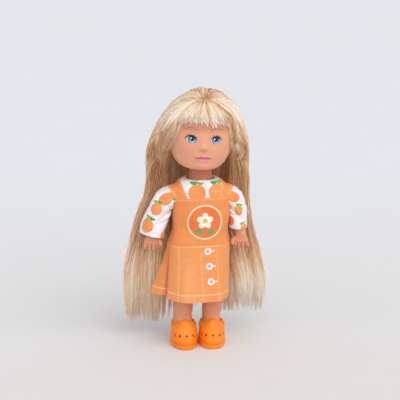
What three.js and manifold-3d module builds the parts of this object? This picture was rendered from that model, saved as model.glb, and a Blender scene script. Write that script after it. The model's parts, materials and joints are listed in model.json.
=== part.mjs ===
// A 12 cm child fashion doll: a jointed plastic body in a pinafore dress, with long straight hair.
// Millimetres, +Z up. The doll faces -Y, its left side is +X and its soles stand on z = 0.

import * as THREE from 'three';
import { mergeVertices } from 'three/addons/utils/BufferGeometryUtils.js';
import Module from 'manifold-3d';

const wasm = await Module();
wasm.setup();

// Clearances
const runningGap = 0.3; // between pieces that turn on each other
const seamGap = 0.3; // between pieces that are sewn or laid together

// Heights, from the soles up
const legLength = 43; // sole to hip axis
const torsoLength = 27.4; // hip axis to shoulder axis
const shoulderRise = 6.6; // shoulder axis to the top of the torso
const neckLength = 7; // top of the torso to the top of the neck
const chinDrop = 1.7; // how far the chin hangs below the top of the neck
const headHeight = 34.4; // chin to bald crown
const hairDepth = 3; // bald crown to the top of the hair
const waistRise = 5.5; // hip axis to the waist seam
const skirtLength = 26.5; // waist seam to the front of the hem

// Torso, two shells that meet in the plane y = 0
const torsoHalfWidth = 12.6;
const torsoHalfDepth = 7.4;
const webHalfWidth = 1.75; // the tongue of the torso between the legs
const webDrop = 6.8; // hip axis to the lower end of that tongue
const shellPinRadius = 1;
const shellPinLength = 2.6;

// Neck and head
const neckRadius = 5.2;
const neckShankRadius = 3.5;
const neckFlangeRadius = 4.6;
const neckFlangeThickness = 1.5;
const neckFlangeDepth = 7; // top of the torso to the underside of the flange
const knobRadius = 5;
const knobStemLength = 2.6; // top of the neck to the underside of the knob
const knobHeight = 2.8;
const headHalfWidth = 15.3;
const headFrontDepth = 14.2;
const headBackDepth = 14.8;
const headTilt = 3; // degrees, towards the doll's left
const eyeSpacing = 11;
const eyeHeight = 15.3; // above the chin
const noseHeight = 12;
const mouthHeight = 6.9;

// Arms
const shoulderDiscRadius = 4.1;
const shoulderReach = 8.3; // from the torso's side to the outside of the shoulder
const armLength = 18; // shoulder axis to wrist
const upperArmRadius = 2.7;
const wristRadius = 2.2;
const handLength = 6.2;
const palmHalfWidth = 3.5;
const palmHalfThickness = 1.5;
const fingerRadius = 0.92;
const armStudRadius = 1.8;
const armFlangeRadius = 3;
const armFlangeThickness = 1.4;
const armStudLength = 4; // from the torso's side to the flange

// Legs and the pin that carries them
const hipDrumRadius = 5.7;
const legSpacing = 14.2; // between the middles of the legs
const thighRadius = 5.1;
const calfRadius = 4.85;
const ankleRadius = 4.2;
const hipSwingForward = 90; // degrees
const hipSwingBack = 20;
const hipPinRadius = 1.4;
const hipPinHeadRadius = 2.2;
const hipPinHeadThickness = 1.8;
const hipPinShaftReach = 5.3; // middle of the body to the inside of the head

// Clogs
const clogFront = 12.6; // ankle to toe
const clogBack = 6.4; // ankle to heel
const clogHalfWidth = 6.5;
const clogHeight = 12.4; // floor to the top of the tongue
const clogWall = 1.2;
const soleThickness = 2;
const toeOut = { left: -5, right: -1 }; // degrees
// The upper from the toe band to the tongue, in shares of the clog's height, length and half width
const upperLine = [
  [0.46, 0.9, 0.95],
  [0.6, 0.8, 0.94],
  [0.75, 0.68, 0.89],
  [0.88, 0.56, 0.74],
  [0.96, 0.47, 0.5],
  [1, 0.41, 0.34],
];
const mouthSlope = 32; // degrees, of the opening behind the tongue
const ventRadius = 0.6;
const ventCount = 5;
const strapHeight = 2.6;
const strapThickness = 0.9;

// Dress
const cloth = 0.7;
const tapeWidth = 6.4;
const tapeThickness = 0.5;
const tapeLength = 22;
const armholeRadius = 5;
const necklineRadius = 6.4;
const bindingHeight = 0.8;
const hemFlare = 1.2; // how much wider the skirt is at the hem than at the waist
const hemDepthFlare = 2.4;
const hemShift = 1.2; // how far the hem hangs towards the doll's right
const sidePleatReach = 6.8;
const cuffHalfWidth = { left: 4.1, right: 5.8 };
const cuffOut = { left: 0.1, right: 2.2 }; // how far the cuff hangs away from the body
const cuffHalfDepth = 5.6;
const sleeveFold = 0.3; // height of the soft folds round the sleeve
const sleeveLength = { left: 16.2, right: 17.3 }; // shoulder axis to cuff

// Hair
const hairHalfWidth = 22.8;
const hairFrontDepth = 17.3;
const hairBackDepth = 19.3;
const fringeHalfWidth = 13.4;
const fringeDrop = 16; // top of the hair to the lower edge of the fringe
const hairReach = { left: 32.7, right: 34.4 }; // where the lengths are widest
const hairEnd = { left: 12.5, right: 9 }; // height of the ends above the floor
// Shares of that reach at the neck, the shoulder, the elbow and the hip
const hairSpread = {
  left: [0.74, 0.76, 0.8, 0.93],
  right: [0.77, 0.83, 0.9, 0.99],
};
const hairHalfDepth = 2.7; // of the lengths behind the arms
const backHairEnd = 17;
const backHairHalfWidth = 13.6;
const notchHeight = 7; // of the gaps between the pointed ends of the locks
const notchHalfWidth = 0.9;

// Levels and places that follow from the sizes above
const hipZ = legLength;
const shoulderZ = hipZ + torsoLength;
const torsoTopZ = shoulderZ + shoulderRise;
const neckTopZ = torsoTopZ + neckLength;
const headBaseZ = neckTopZ + runningGap;
const chinZ = neckTopZ - chinDrop;
const crownZ = chinZ + headHeight;
const headMidZ = chinZ + headHeight / 2;
const hairTopZ = crownZ + hairDepth;
const waistZ = hipZ + waistRise;
const fringeZ = hairTopZ - fringeDrop;
const placketEase = 2 * tapeThickness + 2 * seamGap;
const dressHalfWidth = torsoHalfWidth + seamGap + cloth;
const sleeveInnerX = dressHalfWidth + runningGap + 0.2;
const shoulderSeatX = torsoHalfWidth - runningGap;
const armX = sleeveInnerX + cloth + runningGap + upperArmRadius;
const legX = legSpacing / 2;
const legInnerX = webHalfWidth + runningGap;
const legOuterX = 2 * legX - legInnerX;

const TAU = 2 * Math.PI;
const degrees = Math.PI / 180;

const skinVinyl = new THREE.MeshStandardMaterial({ color: 0xe0a184, roughness: 0.5, metalness: 0 });
const skinPlastic = new THREE.MeshStandardMaterial({ color: 0xd99a7c, roughness: 0.4, metalness: 0 });
const hairFibre = new THREE.MeshStandardMaterial({ color: 0xd9bd92, roughness: 0.4, metalness: 0 });
const orangeCloth = new THREE.MeshStandardMaterial({ color: 0xf0964f, roughness: 0.6, metalness: 0 });
const whiteCloth = new THREE.MeshStandardMaterial({ color: 0xf1e9e6, roughness: 0.6, metalness: 0 });
const orangeRubber = new THREE.MeshStandardMaterial({ color: 0xfa8d2c, roughness: 0.35, metalness: 0 });
const tapeFabric = new THREE.MeshStandardMaterial({ color: 0xf5f2ee, roughness: 0.9, metalness: 0 });

const doll = new THREE.Group();

// Turns the triangles of a closed mesh outwards, going by the sign of its volume.
function facingOut(positions, indices) {
  let volume = 0;
  const a = new THREE.Vector3();
  const b = new THREE.Vector3();
  const c = new THREE.Vector3();
  for (let i = 0; i < indices.length; i += 3) {
    a.fromArray(positions, 3 * indices[i]);
    b.fromArray(positions, 3 * indices[i + 1]);
    c.fromArray(positions, 3 * indices[i + 2]);
    volume += a.dot(b.cross(c));
  }
  if (volume < 0) {
    for (let i = 0; i < indices.length; i += 3) {
      [indices[i + 1], indices[i + 2]] = [indices[i + 2], indices[i + 1]];
    }
  }
  return indices;
}

function geometryFrom(positions, indices) {
  const geometry = new THREE.BufferGeometry();
  geometry.setAttribute('position', new THREE.Float32BufferAttribute(positions, 3));
  geometry.setIndex(Array.from(facingOut(positions, indices)));
  return geometry;
}

// A manifold solid from any closed three.js geometry.
function solid(geometry) {
  const bare = geometry.clone();
  bare.deleteAttribute('normal');
  bare.deleteAttribute('uv');
  const merged = mergeVertices(bare, 1e-4);
  const vertProperties = Float32Array.from(merged.attributes.position.array);
  const triVerts = Uint32Array.from(facingOut(vertProperties, Array.from(merged.index.array)));
  return new wasm.Manifold(new wasm.Mesh({ numProp: 3, vertProperties, triVerts }));
}

function place(name, body, material) {
  const { vertProperties, triVerts } = body.getMesh();
  const geometry = geometryFrom(Array.from(vertProperties), Array.from(triVerts));
  geometry.computeVertexNormals();
  const mesh = new THREE.Mesh(geometry, material);
  mesh.name = name;
  doll.add(mesh);
}

// A closed surface through rings of equal point counts, with a fan over each end.
function loft(rings) {
  const count = rings[0].length;
  const positions = rings.flat().flatMap((point) => point.toArray());
  const indices = [];
  for (let r = 0; r + 1 < rings.length; r += 1) {
    for (let i = 0; i < count; i += 1) {
      const near = r * count;
      const far = near + count;
      const j = (i + 1) % count;
      indices.push(near + i, near + j, far + j, near + i, far + j, far + i);
    }
  }
  for (const [ring, turned] of [[0, true], [rings.length - 1, false]]) {
    const middle = positions.length / 3;
    const centre = new THREE.Vector3();
    rings[ring].forEach((point) => centre.addScaledVector(point, 1 / count));
    positions.push(...centre.toArray());
    for (let i = 0; i < count; i += 1) {
      const here = ring * count + i;
      const next = ring * count + (i + 1) % count;
      indices.push(middle, turned ? next : here, turned ? here : next);
    }
  }
  return solid(geometryFrom(positions, indices));
}

// A level ring on a superellipse: power 2 is an ellipse, a higher power is squarer.
function oval(centre, halfWidth, halfDepth, power, sides) {
  const ring = [];
  for (let i = 0; i < sides; i += 1) {
    const c = Math.cos(TAU * i / sides);
    const s = Math.sin(TAU * i / sides);
    const x = Math.sign(c) * Math.abs(c) ** (2 / power) * halfWidth;
    const y = Math.sign(s) * Math.abs(s) ** (2 / power) * halfDepth;
    ring.push(new THREE.Vector3(centre.x + x, centre.y + y, centre.z));
  }
  return ring;
}

// Level rings on a smooth line through stations [x, y, z, half width, half depth], grown by a margin.
function columnRings(stations, count, sides, power = 2, grow = 0) {
  const places = stations.map((s) => new THREE.Vector3(s[0], s[1], s[2]));
  const sizes = stations.map((s) => new THREE.Vector3(s[3] + grow, s[4] + grow, 0));
  const middleLine = new THREE.CatmullRomCurve3(places, false, 'catmullrom', 0.5);
  const sizeLine = new THREE.CatmullRomCurve3(sizes, false, 'catmullrom', 0.5);
  const rings = [];
  for (let k = 0; k < count; k += 1) {
    const size = sizeLine.getPoint(k / (count - 1));
    rings.push(oval(middleLine.getPoint(k / (count - 1)), size.x, size.y, power, sides));
  }
  return rings;
}

function column(stations, count, sides, power, grow) {
  return loft(columnRings(stations, count, sides, power, grow));
}

// A body turned about an axis along X, from a profile of [x, radius] that starts and ends on the axis.
function turnedAboutX(profile, side, y, z, sides) {
  const points = profile.map(([x, radius]) => new THREE.Vector2(radius, x));
  const geometry = new THREE.LatheGeometry(points, sides);
  geometry.rotateZ(-Math.PI / 2);
  if (side < 0) {
    geometry.rotateY(Math.PI);
  }
  geometry.translate(0, y, z);
  return solid(geometry);
}

function turnedAboutZ(profile, sides) {
  const points = profile.map(([radius, z]) => new THREE.Vector2(radius, z));
  const geometry = new THREE.LatheGeometry(points, sides);
  geometry.rotateX(Math.PI / 2);
  return solid(geometry);
}

function block(low, high) {
  const size = [high[0] - low[0], high[1] - low[1], high[2] - low[2]];
  const geometry = new THREE.BoxGeometry(...size);
  geometry.translate((low[0] + high[0]) / 2, (low[1] + high[1]) / 2, (low[2] + high[2]) / 2);
  return solid(geometry);
}

// A round rod between two points.
function rod(from, to, radius, sides) {
  const start = new THREE.Vector3(...from);
  const end = new THREE.Vector3(...to);
  const geometry = new THREE.CylinderGeometry(radius, radius, start.distanceTo(end), sides);
  const turn = new THREE.Quaternion();
  turn.setFromUnitVectors(new THREE.Vector3(0, 1, 0), end.clone().sub(start).normalize());
  geometry.applyQuaternion(turn);
  geometry.translate(...start.add(end).multiplyScalar(0.5).toArray());
  return solid(geometry);
}

// A sheet of cloth: outer and inner faces over a grid, closed along its four edges.
function sheet(outerAt, innerAt, across, down) {
  const positions = [];
  const indices = [];
  const side = (across + 1) * (down + 1);
  for (const surface of [outerAt, innerAt]) {
    for (let v = 0; v <= down; v += 1) {
      for (let u = 0; u <= across; u += 1) {
        positions.push(...surface(u / across, v / down).toArray());
      }
    }
  }
  const at = (u, v) => v * (across + 1) + u;
  const quad = (a, b, c, d) => indices.push(a, b, c, a, c, d);
  for (let v = 0; v < down; v += 1) {
    for (let u = 0; u < across; u += 1) {
      quad(at(u, v), at(u + 1, v), at(u + 1, v + 1), at(u, v + 1));
      quad(side + at(u, v), side + at(u, v + 1), side + at(u + 1, v + 1), side + at(u + 1, v));
    }
  }
  for (let u = 0; u < across; u += 1) {
    quad(at(u + 1, 0), at(u, 0), side + at(u, 0), side + at(u + 1, 0));
    quad(at(u, down), at(u + 1, down), side + at(u + 1, down), side + at(u, down));
  }
  for (let v = 0; v < down; v += 1) {
    quad(at(0, v), at(0, v + 1), side + at(0, v + 1), side + at(0, v));
    quad(at(across, v + 1), at(across, v), side + at(across, v), side + at(across, v + 1));
  }
  return solid(geometryFrom(positions, indices));
}

const bell = (distance, spread) => Math.exp(-((distance / spread) ** 2));
const ramp = (value, from, to) => THREE.MathUtils.smoothstep(value, from, to);

// Torso

function torsoStations(grow) {
  const w = torsoHalfWidth;
  const d = torsoHalfDepth;
  return [
    [0, 0, hipZ - webDrop, 0.62 * w, 0.5 * d],
    [0, 0, hipZ - 0.4 * webDrop, 0.9 * w, 0.68 * d],
    [0, 0, hipZ + 0.07 * torsoLength, w, 0.86 * d],
    [0, 0, hipZ + 0.18 * torsoLength, w, d],
    [0, 0, hipZ + 0.4 * torsoLength, 0.93 * w, 0.94 * d],
    [0, 0, hipZ + 0.72 * torsoLength, 0.98 * w, d],
    [0, 0, shoulderZ, w, 0.93 * d],
    [0, 0, shoulderZ + 0.55 * shoulderRise, 0.92 * w, 0.84 * d],
    [0, 0, torsoTopZ - 0.12 * shoulderRise + grow, 0.68 * w, 0.74 * d],
    [0, 0, torsoTopZ + grow, 0.52 * w, 0.68 * d],
  ];
}

function torsoBody(grow, backEase, count, sides) {
  const rings = columnRings(torsoStations(grow), count, sides, 2.6, grow);
  for (const point of rings.flat()) {
    if (point.y > 0) {
      point.y += backEase * (1 - ramp(Math.abs(point.x), tapeWidth / 2, torsoHalfWidth));
    }
  }
  return loft(rings);
}

// The room that one leg sweeps through, from its furthest back to its furthest forward.
function legSweep(side) {
  const reach = 60;
  const halfDepth = thighRadius + 0.1 + runningGap;
  const back = hipSwingBack * degrees;
  const shape = new THREE.Shape();
  shape.moveTo(0, halfDepth);
  shape.lineTo(-reach, halfDepth + reach * Math.sin((hipSwingForward - 90) * degrees));
  shape.lineTo(-reach, -reach);
  shape.lineTo(halfDepth * Math.cos(back) + reach * Math.sin(back), -reach);
  shape.lineTo(halfDepth * Math.cos(back), halfDepth * Math.sin(back));
  const geometry = new THREE.ExtrudeGeometry(shape, { depth: reach, bevelEnabled: false });
  const axes = new THREE.Matrix4().makeBasis(
    new THREE.Vector3(0, 1, 0),
    new THREE.Vector3(0, 0, 1),
    new THREE.Vector3(1, 0, 0),
  );
  geometry.applyMatrix4(axes);
  geometry.translate(side > 0 ? webHalfWidth : -webHalfWidth - reach, 0, hipZ);
  return solid(geometry);
}

function shoulderSocket(side) {
  const flangeX = torsoHalfWidth - armStudLength - armFlangeThickness;
  const profile = [
    [flangeX - runningGap, 0],
    [flangeX - runningGap, armFlangeRadius + runningGap],
    [flangeX + armFlangeThickness + runningGap, armFlangeRadius + runningGap],
    [flangeX + armFlangeThickness + runningGap, armStudRadius + runningGap],
    [shoulderSeatX, armStudRadius + runningGap],
    [shoulderSeatX, shoulderDiscRadius + runningGap],
    [2 * torsoHalfWidth, shoulderDiscRadius + runningGap],
    [2 * torsoHalfWidth, 0],
  ];
  return turnedAboutX(profile, side, 0, shoulderZ, 18);
}

function neckSocket() {
  const flangeZ = torsoTopZ - neckFlangeDepth;
  return turnedAboutZ([
    [0, flangeZ - runningGap],
    [neckFlangeRadius + runningGap, flangeZ - runningGap],
    [neckFlangeRadius + runningGap, flangeZ + neckFlangeThickness + runningGap],
    [neckShankRadius + runningGap, flangeZ + neckFlangeThickness + runningGap],
    [neckShankRadius + runningGap, torsoTopZ + 1],
    [0, torsoTopZ + 1],
  ], 18);
}

const shellPins = [
  [0.58 * torsoHalfWidth, hipZ + 0.42 * torsoLength],
  [-0.58 * torsoHalfWidth, hipZ + 0.42 * torsoLength],
  [0, hipZ + 0.6 * torsoLength],
];

function buildTorso() {
  let torso = torsoBody(0, 0, 12, 24);
  for (const side of [-1, 1]) {
    const drumRoom = turnedAboutX([
      [webHalfWidth, 0],
      [webHalfWidth, hipDrumRadius + runningGap],
      [2 * torsoHalfWidth, hipDrumRadius + runningGap],
      [2 * torsoHalfWidth, 0],
    ], side, 0, hipZ, 24);
    torso = torso.subtract(drumRoom).subtract(legSweep(side)).subtract(shoulderSocket(side));
  }
  const pinBore = hipPinRadius + seamGap;
  torso = torso.subtract(rod([-torsoHalfWidth, 0, hipZ], [torsoHalfWidth, 0, hipZ], pinBore, 14));
  torso = torso.subtract(neckSocket());
  const far = 100;
  const frontHalf = block([-far, -far, -far], [far, -seamGap / 2, 2 * far]);
  const backHalf = block([-far, seamGap / 2, -far], [far, far, 2 * far]);
  let front = torso.intersect(frontHalf);
  let back = torso.intersect(backHalf);
  for (const [x, z] of shellPins) {
    front = front.add(rod([x, -1, z], [x, shellPinLength, z], shellPinRadius, 10));
    const holeEnd = shellPinLength + seamGap;
    back = back.subtract(rod([x, -1, z], [x, holeEnd, z], shellPinRadius + seamGap, 10));
  }
  place('torso_front', front, skinPlastic);
  place('torso_back', back, skinPlastic);
}

function buildNeck() {
  const flangeZ = torsoTopZ - neckFlangeDepth;
  const knobZ = neckTopZ + knobStemLength;
  place('neck_knob', turnedAboutZ([
    [0, flangeZ],
    [neckFlangeRadius, flangeZ],
    [neckFlangeRadius, flangeZ + neckFlangeThickness],
    [neckShankRadius, flangeZ + neckFlangeThickness],
    [neckShankRadius, torsoTopZ + seamGap],
    [neckRadius + 0.4, torsoTopZ + seamGap],
    [neckRadius, torsoTopZ + 0.3 * neckLength],
    [neckRadius - 0.2, neckTopZ - 0.5],
    [neckRadius - 0.7, neckTopZ],
    [neckShankRadius, neckTopZ],
    [neckShankRadius, knobZ],
    [knobRadius, knobZ],
    [knobRadius - 0.3, knobZ + 0.45 * knobHeight],
    [0.55 * knobRadius, knobZ + 0.92 * knobHeight],
    [0, knobZ + knobHeight],
  ], 18), skinPlastic);
}

function buildHipPin() {
  const outer = hipPinShaftReach + hipPinHeadThickness;
  const half = [
    [hipPinShaftReach, hipPinRadius],
    [hipPinShaftReach, hipPinHeadRadius],
    [hipPinShaftReach + 0.5 * hipPinHeadThickness, hipPinHeadRadius],
    [outer, 0.5 * hipPinHeadRadius],
    [outer, 0],
  ];
  const otherHalf = half.map(([x, radius]) => [-x, radius]).reverse();
  place('hip_pin', turnedAboutX([...otherHalf, ...half], 1, 0, hipZ, 12), skinPlastic);
}

// Head

// How far the face stands out at a place on its front: nose, lips, chin and cheeks up, eyes down.
function faceRelief(x, z) {
  const eyes = -0.75 * bell(Math.abs(x) - eyeSpacing / 2, 2.7) * bell(z - chinZ - eyeHeight, 2.3);
  const nose = 1.9 * bell(x, 1.5) * bell(z - chinZ - noseHeight, 1.4);
  const bridge = 0.7 * bell(x, 1.7) * bell(z - chinZ - noseHeight - 3, 2.8);
  const upperLip = 0.55 * bell(x, 3) * bell(z - chinZ - mouthHeight - 0.7, 0.75);
  const lowerLip = 0.65 * bell(x, 2.5) * bell(z - chinZ - mouthHeight + 0.8, 0.85);
  const chin = 0.9 * bell(x, 3.2) * bell(z - chinZ - 1.8, 1.9);
  const cheeks = 0.7 * bell(Math.abs(x) - 8, 3.6) * bell(z - chinZ - mouthHeight - 2, 3.6);
  return eyes + nose + bridge + upperLip + lowerLip + chin + cheeks;
}

// A point of the head's skin. Turn 0 is the front, rise runs from -1 at the chin to 1 at the crown.
function headPoint(turn, rise, grow, relief) {
  const low = Math.max(0, -rise);
  const breadth = Math.sqrt(Math.max(0, 1 - rise * rise)) ** (0.85 - 0.35 * low * low);
  const front = headFrontDepth + grow;
  const back = (headBackDepth + grow) * (1 - 0.42 * low ** 1.5);
  const depth = Math.cos(turn) > 0 ? front : back;
  const x = (headHalfWidth + grow) * breadth * Math.sin(turn);
  const z = headMidZ + (headHeight / 2 + grow) * rise;
  const chinShift = -2.6 * low ** 2;
  let y = -depth * breadth * Math.cos(turn) + chinShift * ramp(Math.cos(turn), -1, 1);
  if (relief && Math.cos(turn) > 0) {
    y -= faceRelief(x, z) * ramp(Math.cos(turn), 0.1, 0.5);
  }
  const point = new THREE.Vector3(x, y, z);
  const pivot = new THREE.Vector3(0, 0, neckTopZ);
  return point.sub(pivot).applyAxisAngle(new THREE.Vector3(0, 1, 0), headTilt * degrees).add(pivot);
}

function headSkin(grow, relief, sides, levels, gather) {
  const rings = [];
  for (let k = 1; k < levels; k += 1) {
    const step = Math.PI * k / levels;
    const rise = -Math.cos(step - 0.5 * gather * Math.sin(step));
    const ring = [];
    for (let i = 0; i < sides; i += 1) {
      const u = TAU * i / sides;
      ring.push(headPoint(u - gather * Math.sin(u), rise, grow, relief));
    }
    rings.push(ring);
  }
  return loft(rings);
}

function buildHead() {
  const knobZ = neckTopZ + knobStemLength;
  const socket = turnedAboutZ([
    [0, chinZ - 5],
    [neckRadius + 0.6 + runningGap, chinZ - 5],
    [neckRadius + 0.6 + runningGap, headBaseZ],
    [neckShankRadius + runningGap, headBaseZ],
    [neckShankRadius + runningGap, knobZ - runningGap],
    [knobRadius + runningGap, knobZ - runningGap],
    [knobRadius + runningGap, knobZ + knobHeight + runningGap],
    [0, knobZ + knobHeight + runningGap],
  ], 18);
  place('head', headSkin(0, true, 34, 24, 0.6).subtract(socket), skinVinyl);
}

// Arms, built for the doll's left (side 1) or right (side -1)

// The middle of the sleeve's cuff: its inner edge hangs close to the body on both sides.
function cuffX(side) {
  const name = side > 0 ? 'left' : 'right';
  return sleeveInnerX + cuffOut[name] + cuffHalfWidth[name];
}

function wristX(side) {
  return cuffX(side) + 0.4;
}

function armStations(side) {
  const wristZ = shoulderZ - armLength;
  const along = (share) => side * (armX + share * (wristX(side) - armX));
  const upper = upperArmRadius;
  return [
    [side * (armX - 0.1), 0, shoulderZ + 1, upper, upper + 0.3],
    [along(0.2), -0.2, shoulderZ - 0.4 * armLength, upper, upper],
    [along(0.44), -0.8, shoulderZ - 0.62 * armLength, 0.96 * upper, 0.96 * upper],
    [along(0.76), -1.6, shoulderZ - 0.86 * armLength, 0.5 * (upper + wristRadius), wristRadius],
    [along(1), -2.2, wristZ, wristRadius, 0.9 * wristRadius],
    [along(1), -2.6, wristZ - 0.34 * handLength, palmHalfWidth, palmHalfThickness],
    [along(1), -2.9, wristZ - 0.58 * handLength, palmHalfWidth, palmHalfThickness],
    [along(1), -3, wristZ - 0.68 * handLength, 0.86 * palmHalfWidth, 0.7 * palmHalfThickness],
  ];
}

function shoulderProfile(grow, startX) {
  const flat = 0.25 * shoulderReach;
  const dome = shoulderReach - flat;
  const profile = [[startX, 0], [startX, shoulderDiscRadius + grow]];
  for (let k = 0; k <= 4; k += 1) {
    const angle = Math.PI / 2 * k / 4;
    const x = torsoHalfWidth + flat + (dome + grow) * Math.sin(angle);
    profile.push([x, Math.max(0, (shoulderDiscRadius + grow) * Math.cos(angle))]);
  }
  profile[profile.length - 1][1] = 0;
  return profile;
}

function fingers(side) {
  const rootZ = shoulderZ - armLength - 0.5 * handLength;
  const tipZ = shoulderZ - armLength - handLength;
  const handX = wristX(side);
  const made = [];
  const pitch = 2 * palmHalfWidth / 4;
  for (let k = 0; k < 4; k += 1) {
    const x = side * (handX + (k - 1.5) * pitch);
    const drop = 0.5 * Math.abs(k - 1.3);
    made.push(column([
      [x, -2.9, rootZ, fingerRadius, fingerRadius],
      [x, -3.2, rootZ - 0.25 * handLength, fingerRadius, fingerRadius],
      [x, -3, tipZ + drop + 0.5, 0.9 * fingerRadius, 0.9 * fingerRadius],
      [x, -2.8, tipZ + drop, 0.35 * fingerRadius, 0.35 * fingerRadius],
    ], 4, 6));
  }
  const thumbX = side * (handX - palmHalfWidth - 0.3);
  made.push(column([
    [side * (handX - palmHalfWidth + 0.9), -3, rootZ + 2.2, fingerRadius, fingerRadius],
    [thumbX, -3.4, rootZ + 0.8, fingerRadius, fingerRadius],
    [thumbX - side * 0.2, -3.6, rootZ - 1, 0.85 * fingerRadius, 0.9 * fingerRadius],
    [thumbX, -3.6, rootZ - 1.6, 0.35 * fingerRadius, 0.35 * fingerRadius],
  ], 4, 6));
  return made;
}

function buildArm(side, name) {
  const flangeX = torsoHalfWidth - armStudLength - armFlangeThickness;
  const shoulder = [
    [flangeX, 0],
    [flangeX, armFlangeRadius],
    [flangeX + armFlangeThickness, armFlangeRadius],
    [flangeX + armFlangeThickness, armStudRadius],
    [shoulderSeatX + runningGap, armStudRadius],
    ...shoulderProfile(0, shoulderSeatX + runningGap).slice(1),
  ];
  let arm = turnedAboutX(shoulder, side, 0, shoulderZ, 14);
  arm = arm.add(column(armStations(side), 9, 10));
  for (const finger of fingers(side)) {
    arm = arm.add(finger);
  }
  place(name, arm, skinVinyl);
}

function sleeveBody(side, grow, end) {
  const narrow = upperArmRadius + runningGap + grow;
  const round = shoulderDiscRadius + grow;
  const fullness = cuffHalfWidth[side > 0 ? 'left' : 'right'];
  const cuff = [fullness - cloth + grow, cuffHalfDepth - cloth + grow];
  const elbow = 0.5 * (narrow + cuff[0]) + 0.5;
  const belowX = 0.5 * (armX + cuffX(side));
  const stations = [
    [side * armX, 0, shoulderZ + 1, narrow, 0.78 * round],
    [side * (armX + 0.3), 0, shoulderZ - 0.25 * end, narrow + 0.5, round],
    [side * (belowX + 0.2), -0.3, shoulderZ - 0.6 * end, elbow, round + 0.5],
    [side * cuffX(side), -0.7, shoulderZ - end, ...cuff],
  ];
  const rings = columnRings(stations, 8, 20);
  rings.forEach((ring, level) => {
    const middle = new THREE.Vector3();
    ring.forEach((point) => middle.addScaledVector(point, 1 / ring.length));
    ring.forEach((point, i) => {
      const fold = sleeveFold * Math.sin(Math.PI * level / 7) * Math.cos(0.6 * Math.PI * i + 0.5 * level);
      point.addScaledVector(point.clone().sub(middle).normalize(), fold);
    });
  });
  return loft(rings);
}

// The open mouth of the cuff, which runs on below the sleeve.
function cuffRoom(side, length) {
  const halfWidth = cuffHalfWidth[side > 0 ? 'left' : 'right'] - cloth;
  const halfDepth = cuffHalfDepth - cloth;
  const low = [side * cuffX(side), -0.7, shoulderZ - length - 1, halfWidth, halfDepth];
  const high = [side * cuffX(side), -0.7, shoulderZ - length + 0.1, halfWidth, halfDepth];
  return column([low, high], 2, 20);
}

function buildSleeve(side, name) {
  const outer = turnedAboutX(shoulderProfile(runningGap + cloth, torsoHalfWidth), side, 0, shoulderZ, 18);
  const inner = turnedAboutX(shoulderProfile(runningGap, torsoHalfWidth - 1), side, 0, shoulderZ, 18);
  const length = sleeveLength[side > 0 ? 'left' : 'right'];
  const room = sleeveBody(side, 0, length).add(cuffRoom(side, length));
  const sleeve = outer.add(sleeveBody(side, cloth, length)).subtract(inner).subtract(room);
  const far = 60;
  const body = side > 0
    ? block([-far, -far, 0], [sleeveInnerX, far, 2 * far])
    : block([-sleeveInnerX, -far, 0], [far, far, 2 * far]);
  place(name, sleeve.subtract(body), whiteCloth);
}

// Legs and clogs

// Level rings of a shoe form: [height, front length, back length, half width], turned by the toe-out.
function shoeForm(side, levels, sides) {
  const rings = levels.map(([z, front, back, halfWidth]) => {
    const ring = [];
    for (let i = 0; i < sides; i += 1) {
      const angle = TAU * i / sides;
      const s = Math.sin(angle);
      const y = -(Math.cos(angle) > 0 ? front : back) * Math.cos(angle);
      const heelTaper = 1 - 0.2 * ramp(y, -0.35 * clogFront, clogBack);
      const x = Math.sign(s) * Math.abs(s) ** 0.85 * halfWidth * heelTaper;
      ring.push(new THREE.Vector3(x, y, z));
    }
    return ring;
  });
  const turn = side > 0 ? toeOut.left : -toeOut.right;
  for (const point of rings.flat()) {
    point.applyAxisAngle(new THREE.Vector3(0, 0, 1), turn * degrees);
    point.x += side * legX;
  }
  return loft(rings);
}

function footForm(side, grow) {
  const front = clogFront - clogWall;
  const back = clogBack - clogWall;
  const width = clogHalfWidth - clogWall;
  const insole = soleThickness - 0.3;
  const instep = upperLine.slice(0, 4).map(([z, length, halfWidth]) => [
    z * clogHeight - 0.5 * clogWall,
    length * clogFront - clogWall,
    back - 0.3,
    Math.max(ankleRadius, halfWidth * clogHalfWidth - clogWall),
  ]);
  const levels = [
    [insole - grow, 0.94 * front, 0.9 * back, 0.93 * width],
    [insole + clogWall, front - 0.3, back - 0.1, width - 0.3],
    ...instep,
    [clogHeight + 0.6, ankleRadius, ankleRadius, ankleRadius],
  ];
  return shoeForm(side, levels.map(([z, f, b, w]) => [z, f + grow, b + grow, w + grow]), 18);
}

function shankStations(side) {
  const x = side * legX;
  return [
    [x, 0, hipZ, thighRadius - 0.1, thighRadius],
    [x, 0, 0.84 * hipZ, thighRadius, thighRadius + 0.1],
    [x, 0, 0.6 * hipZ, 0.97 * thighRadius, 0.97 * thighRadius],
    [x, 0, 0.44 * hipZ, calfRadius, calfRadius],
    [x, 0, 0.36 * hipZ, 0.4 * calfRadius + 0.6 * ankleRadius, 0.4 * calfRadius + 0.6 * ankleRadius],
    [x, 0, clogHeight, ankleRadius, ankleRadius],
    [x, 0, 0.4 * clogHeight, ankleRadius, ankleRadius],
  ];
}

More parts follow.
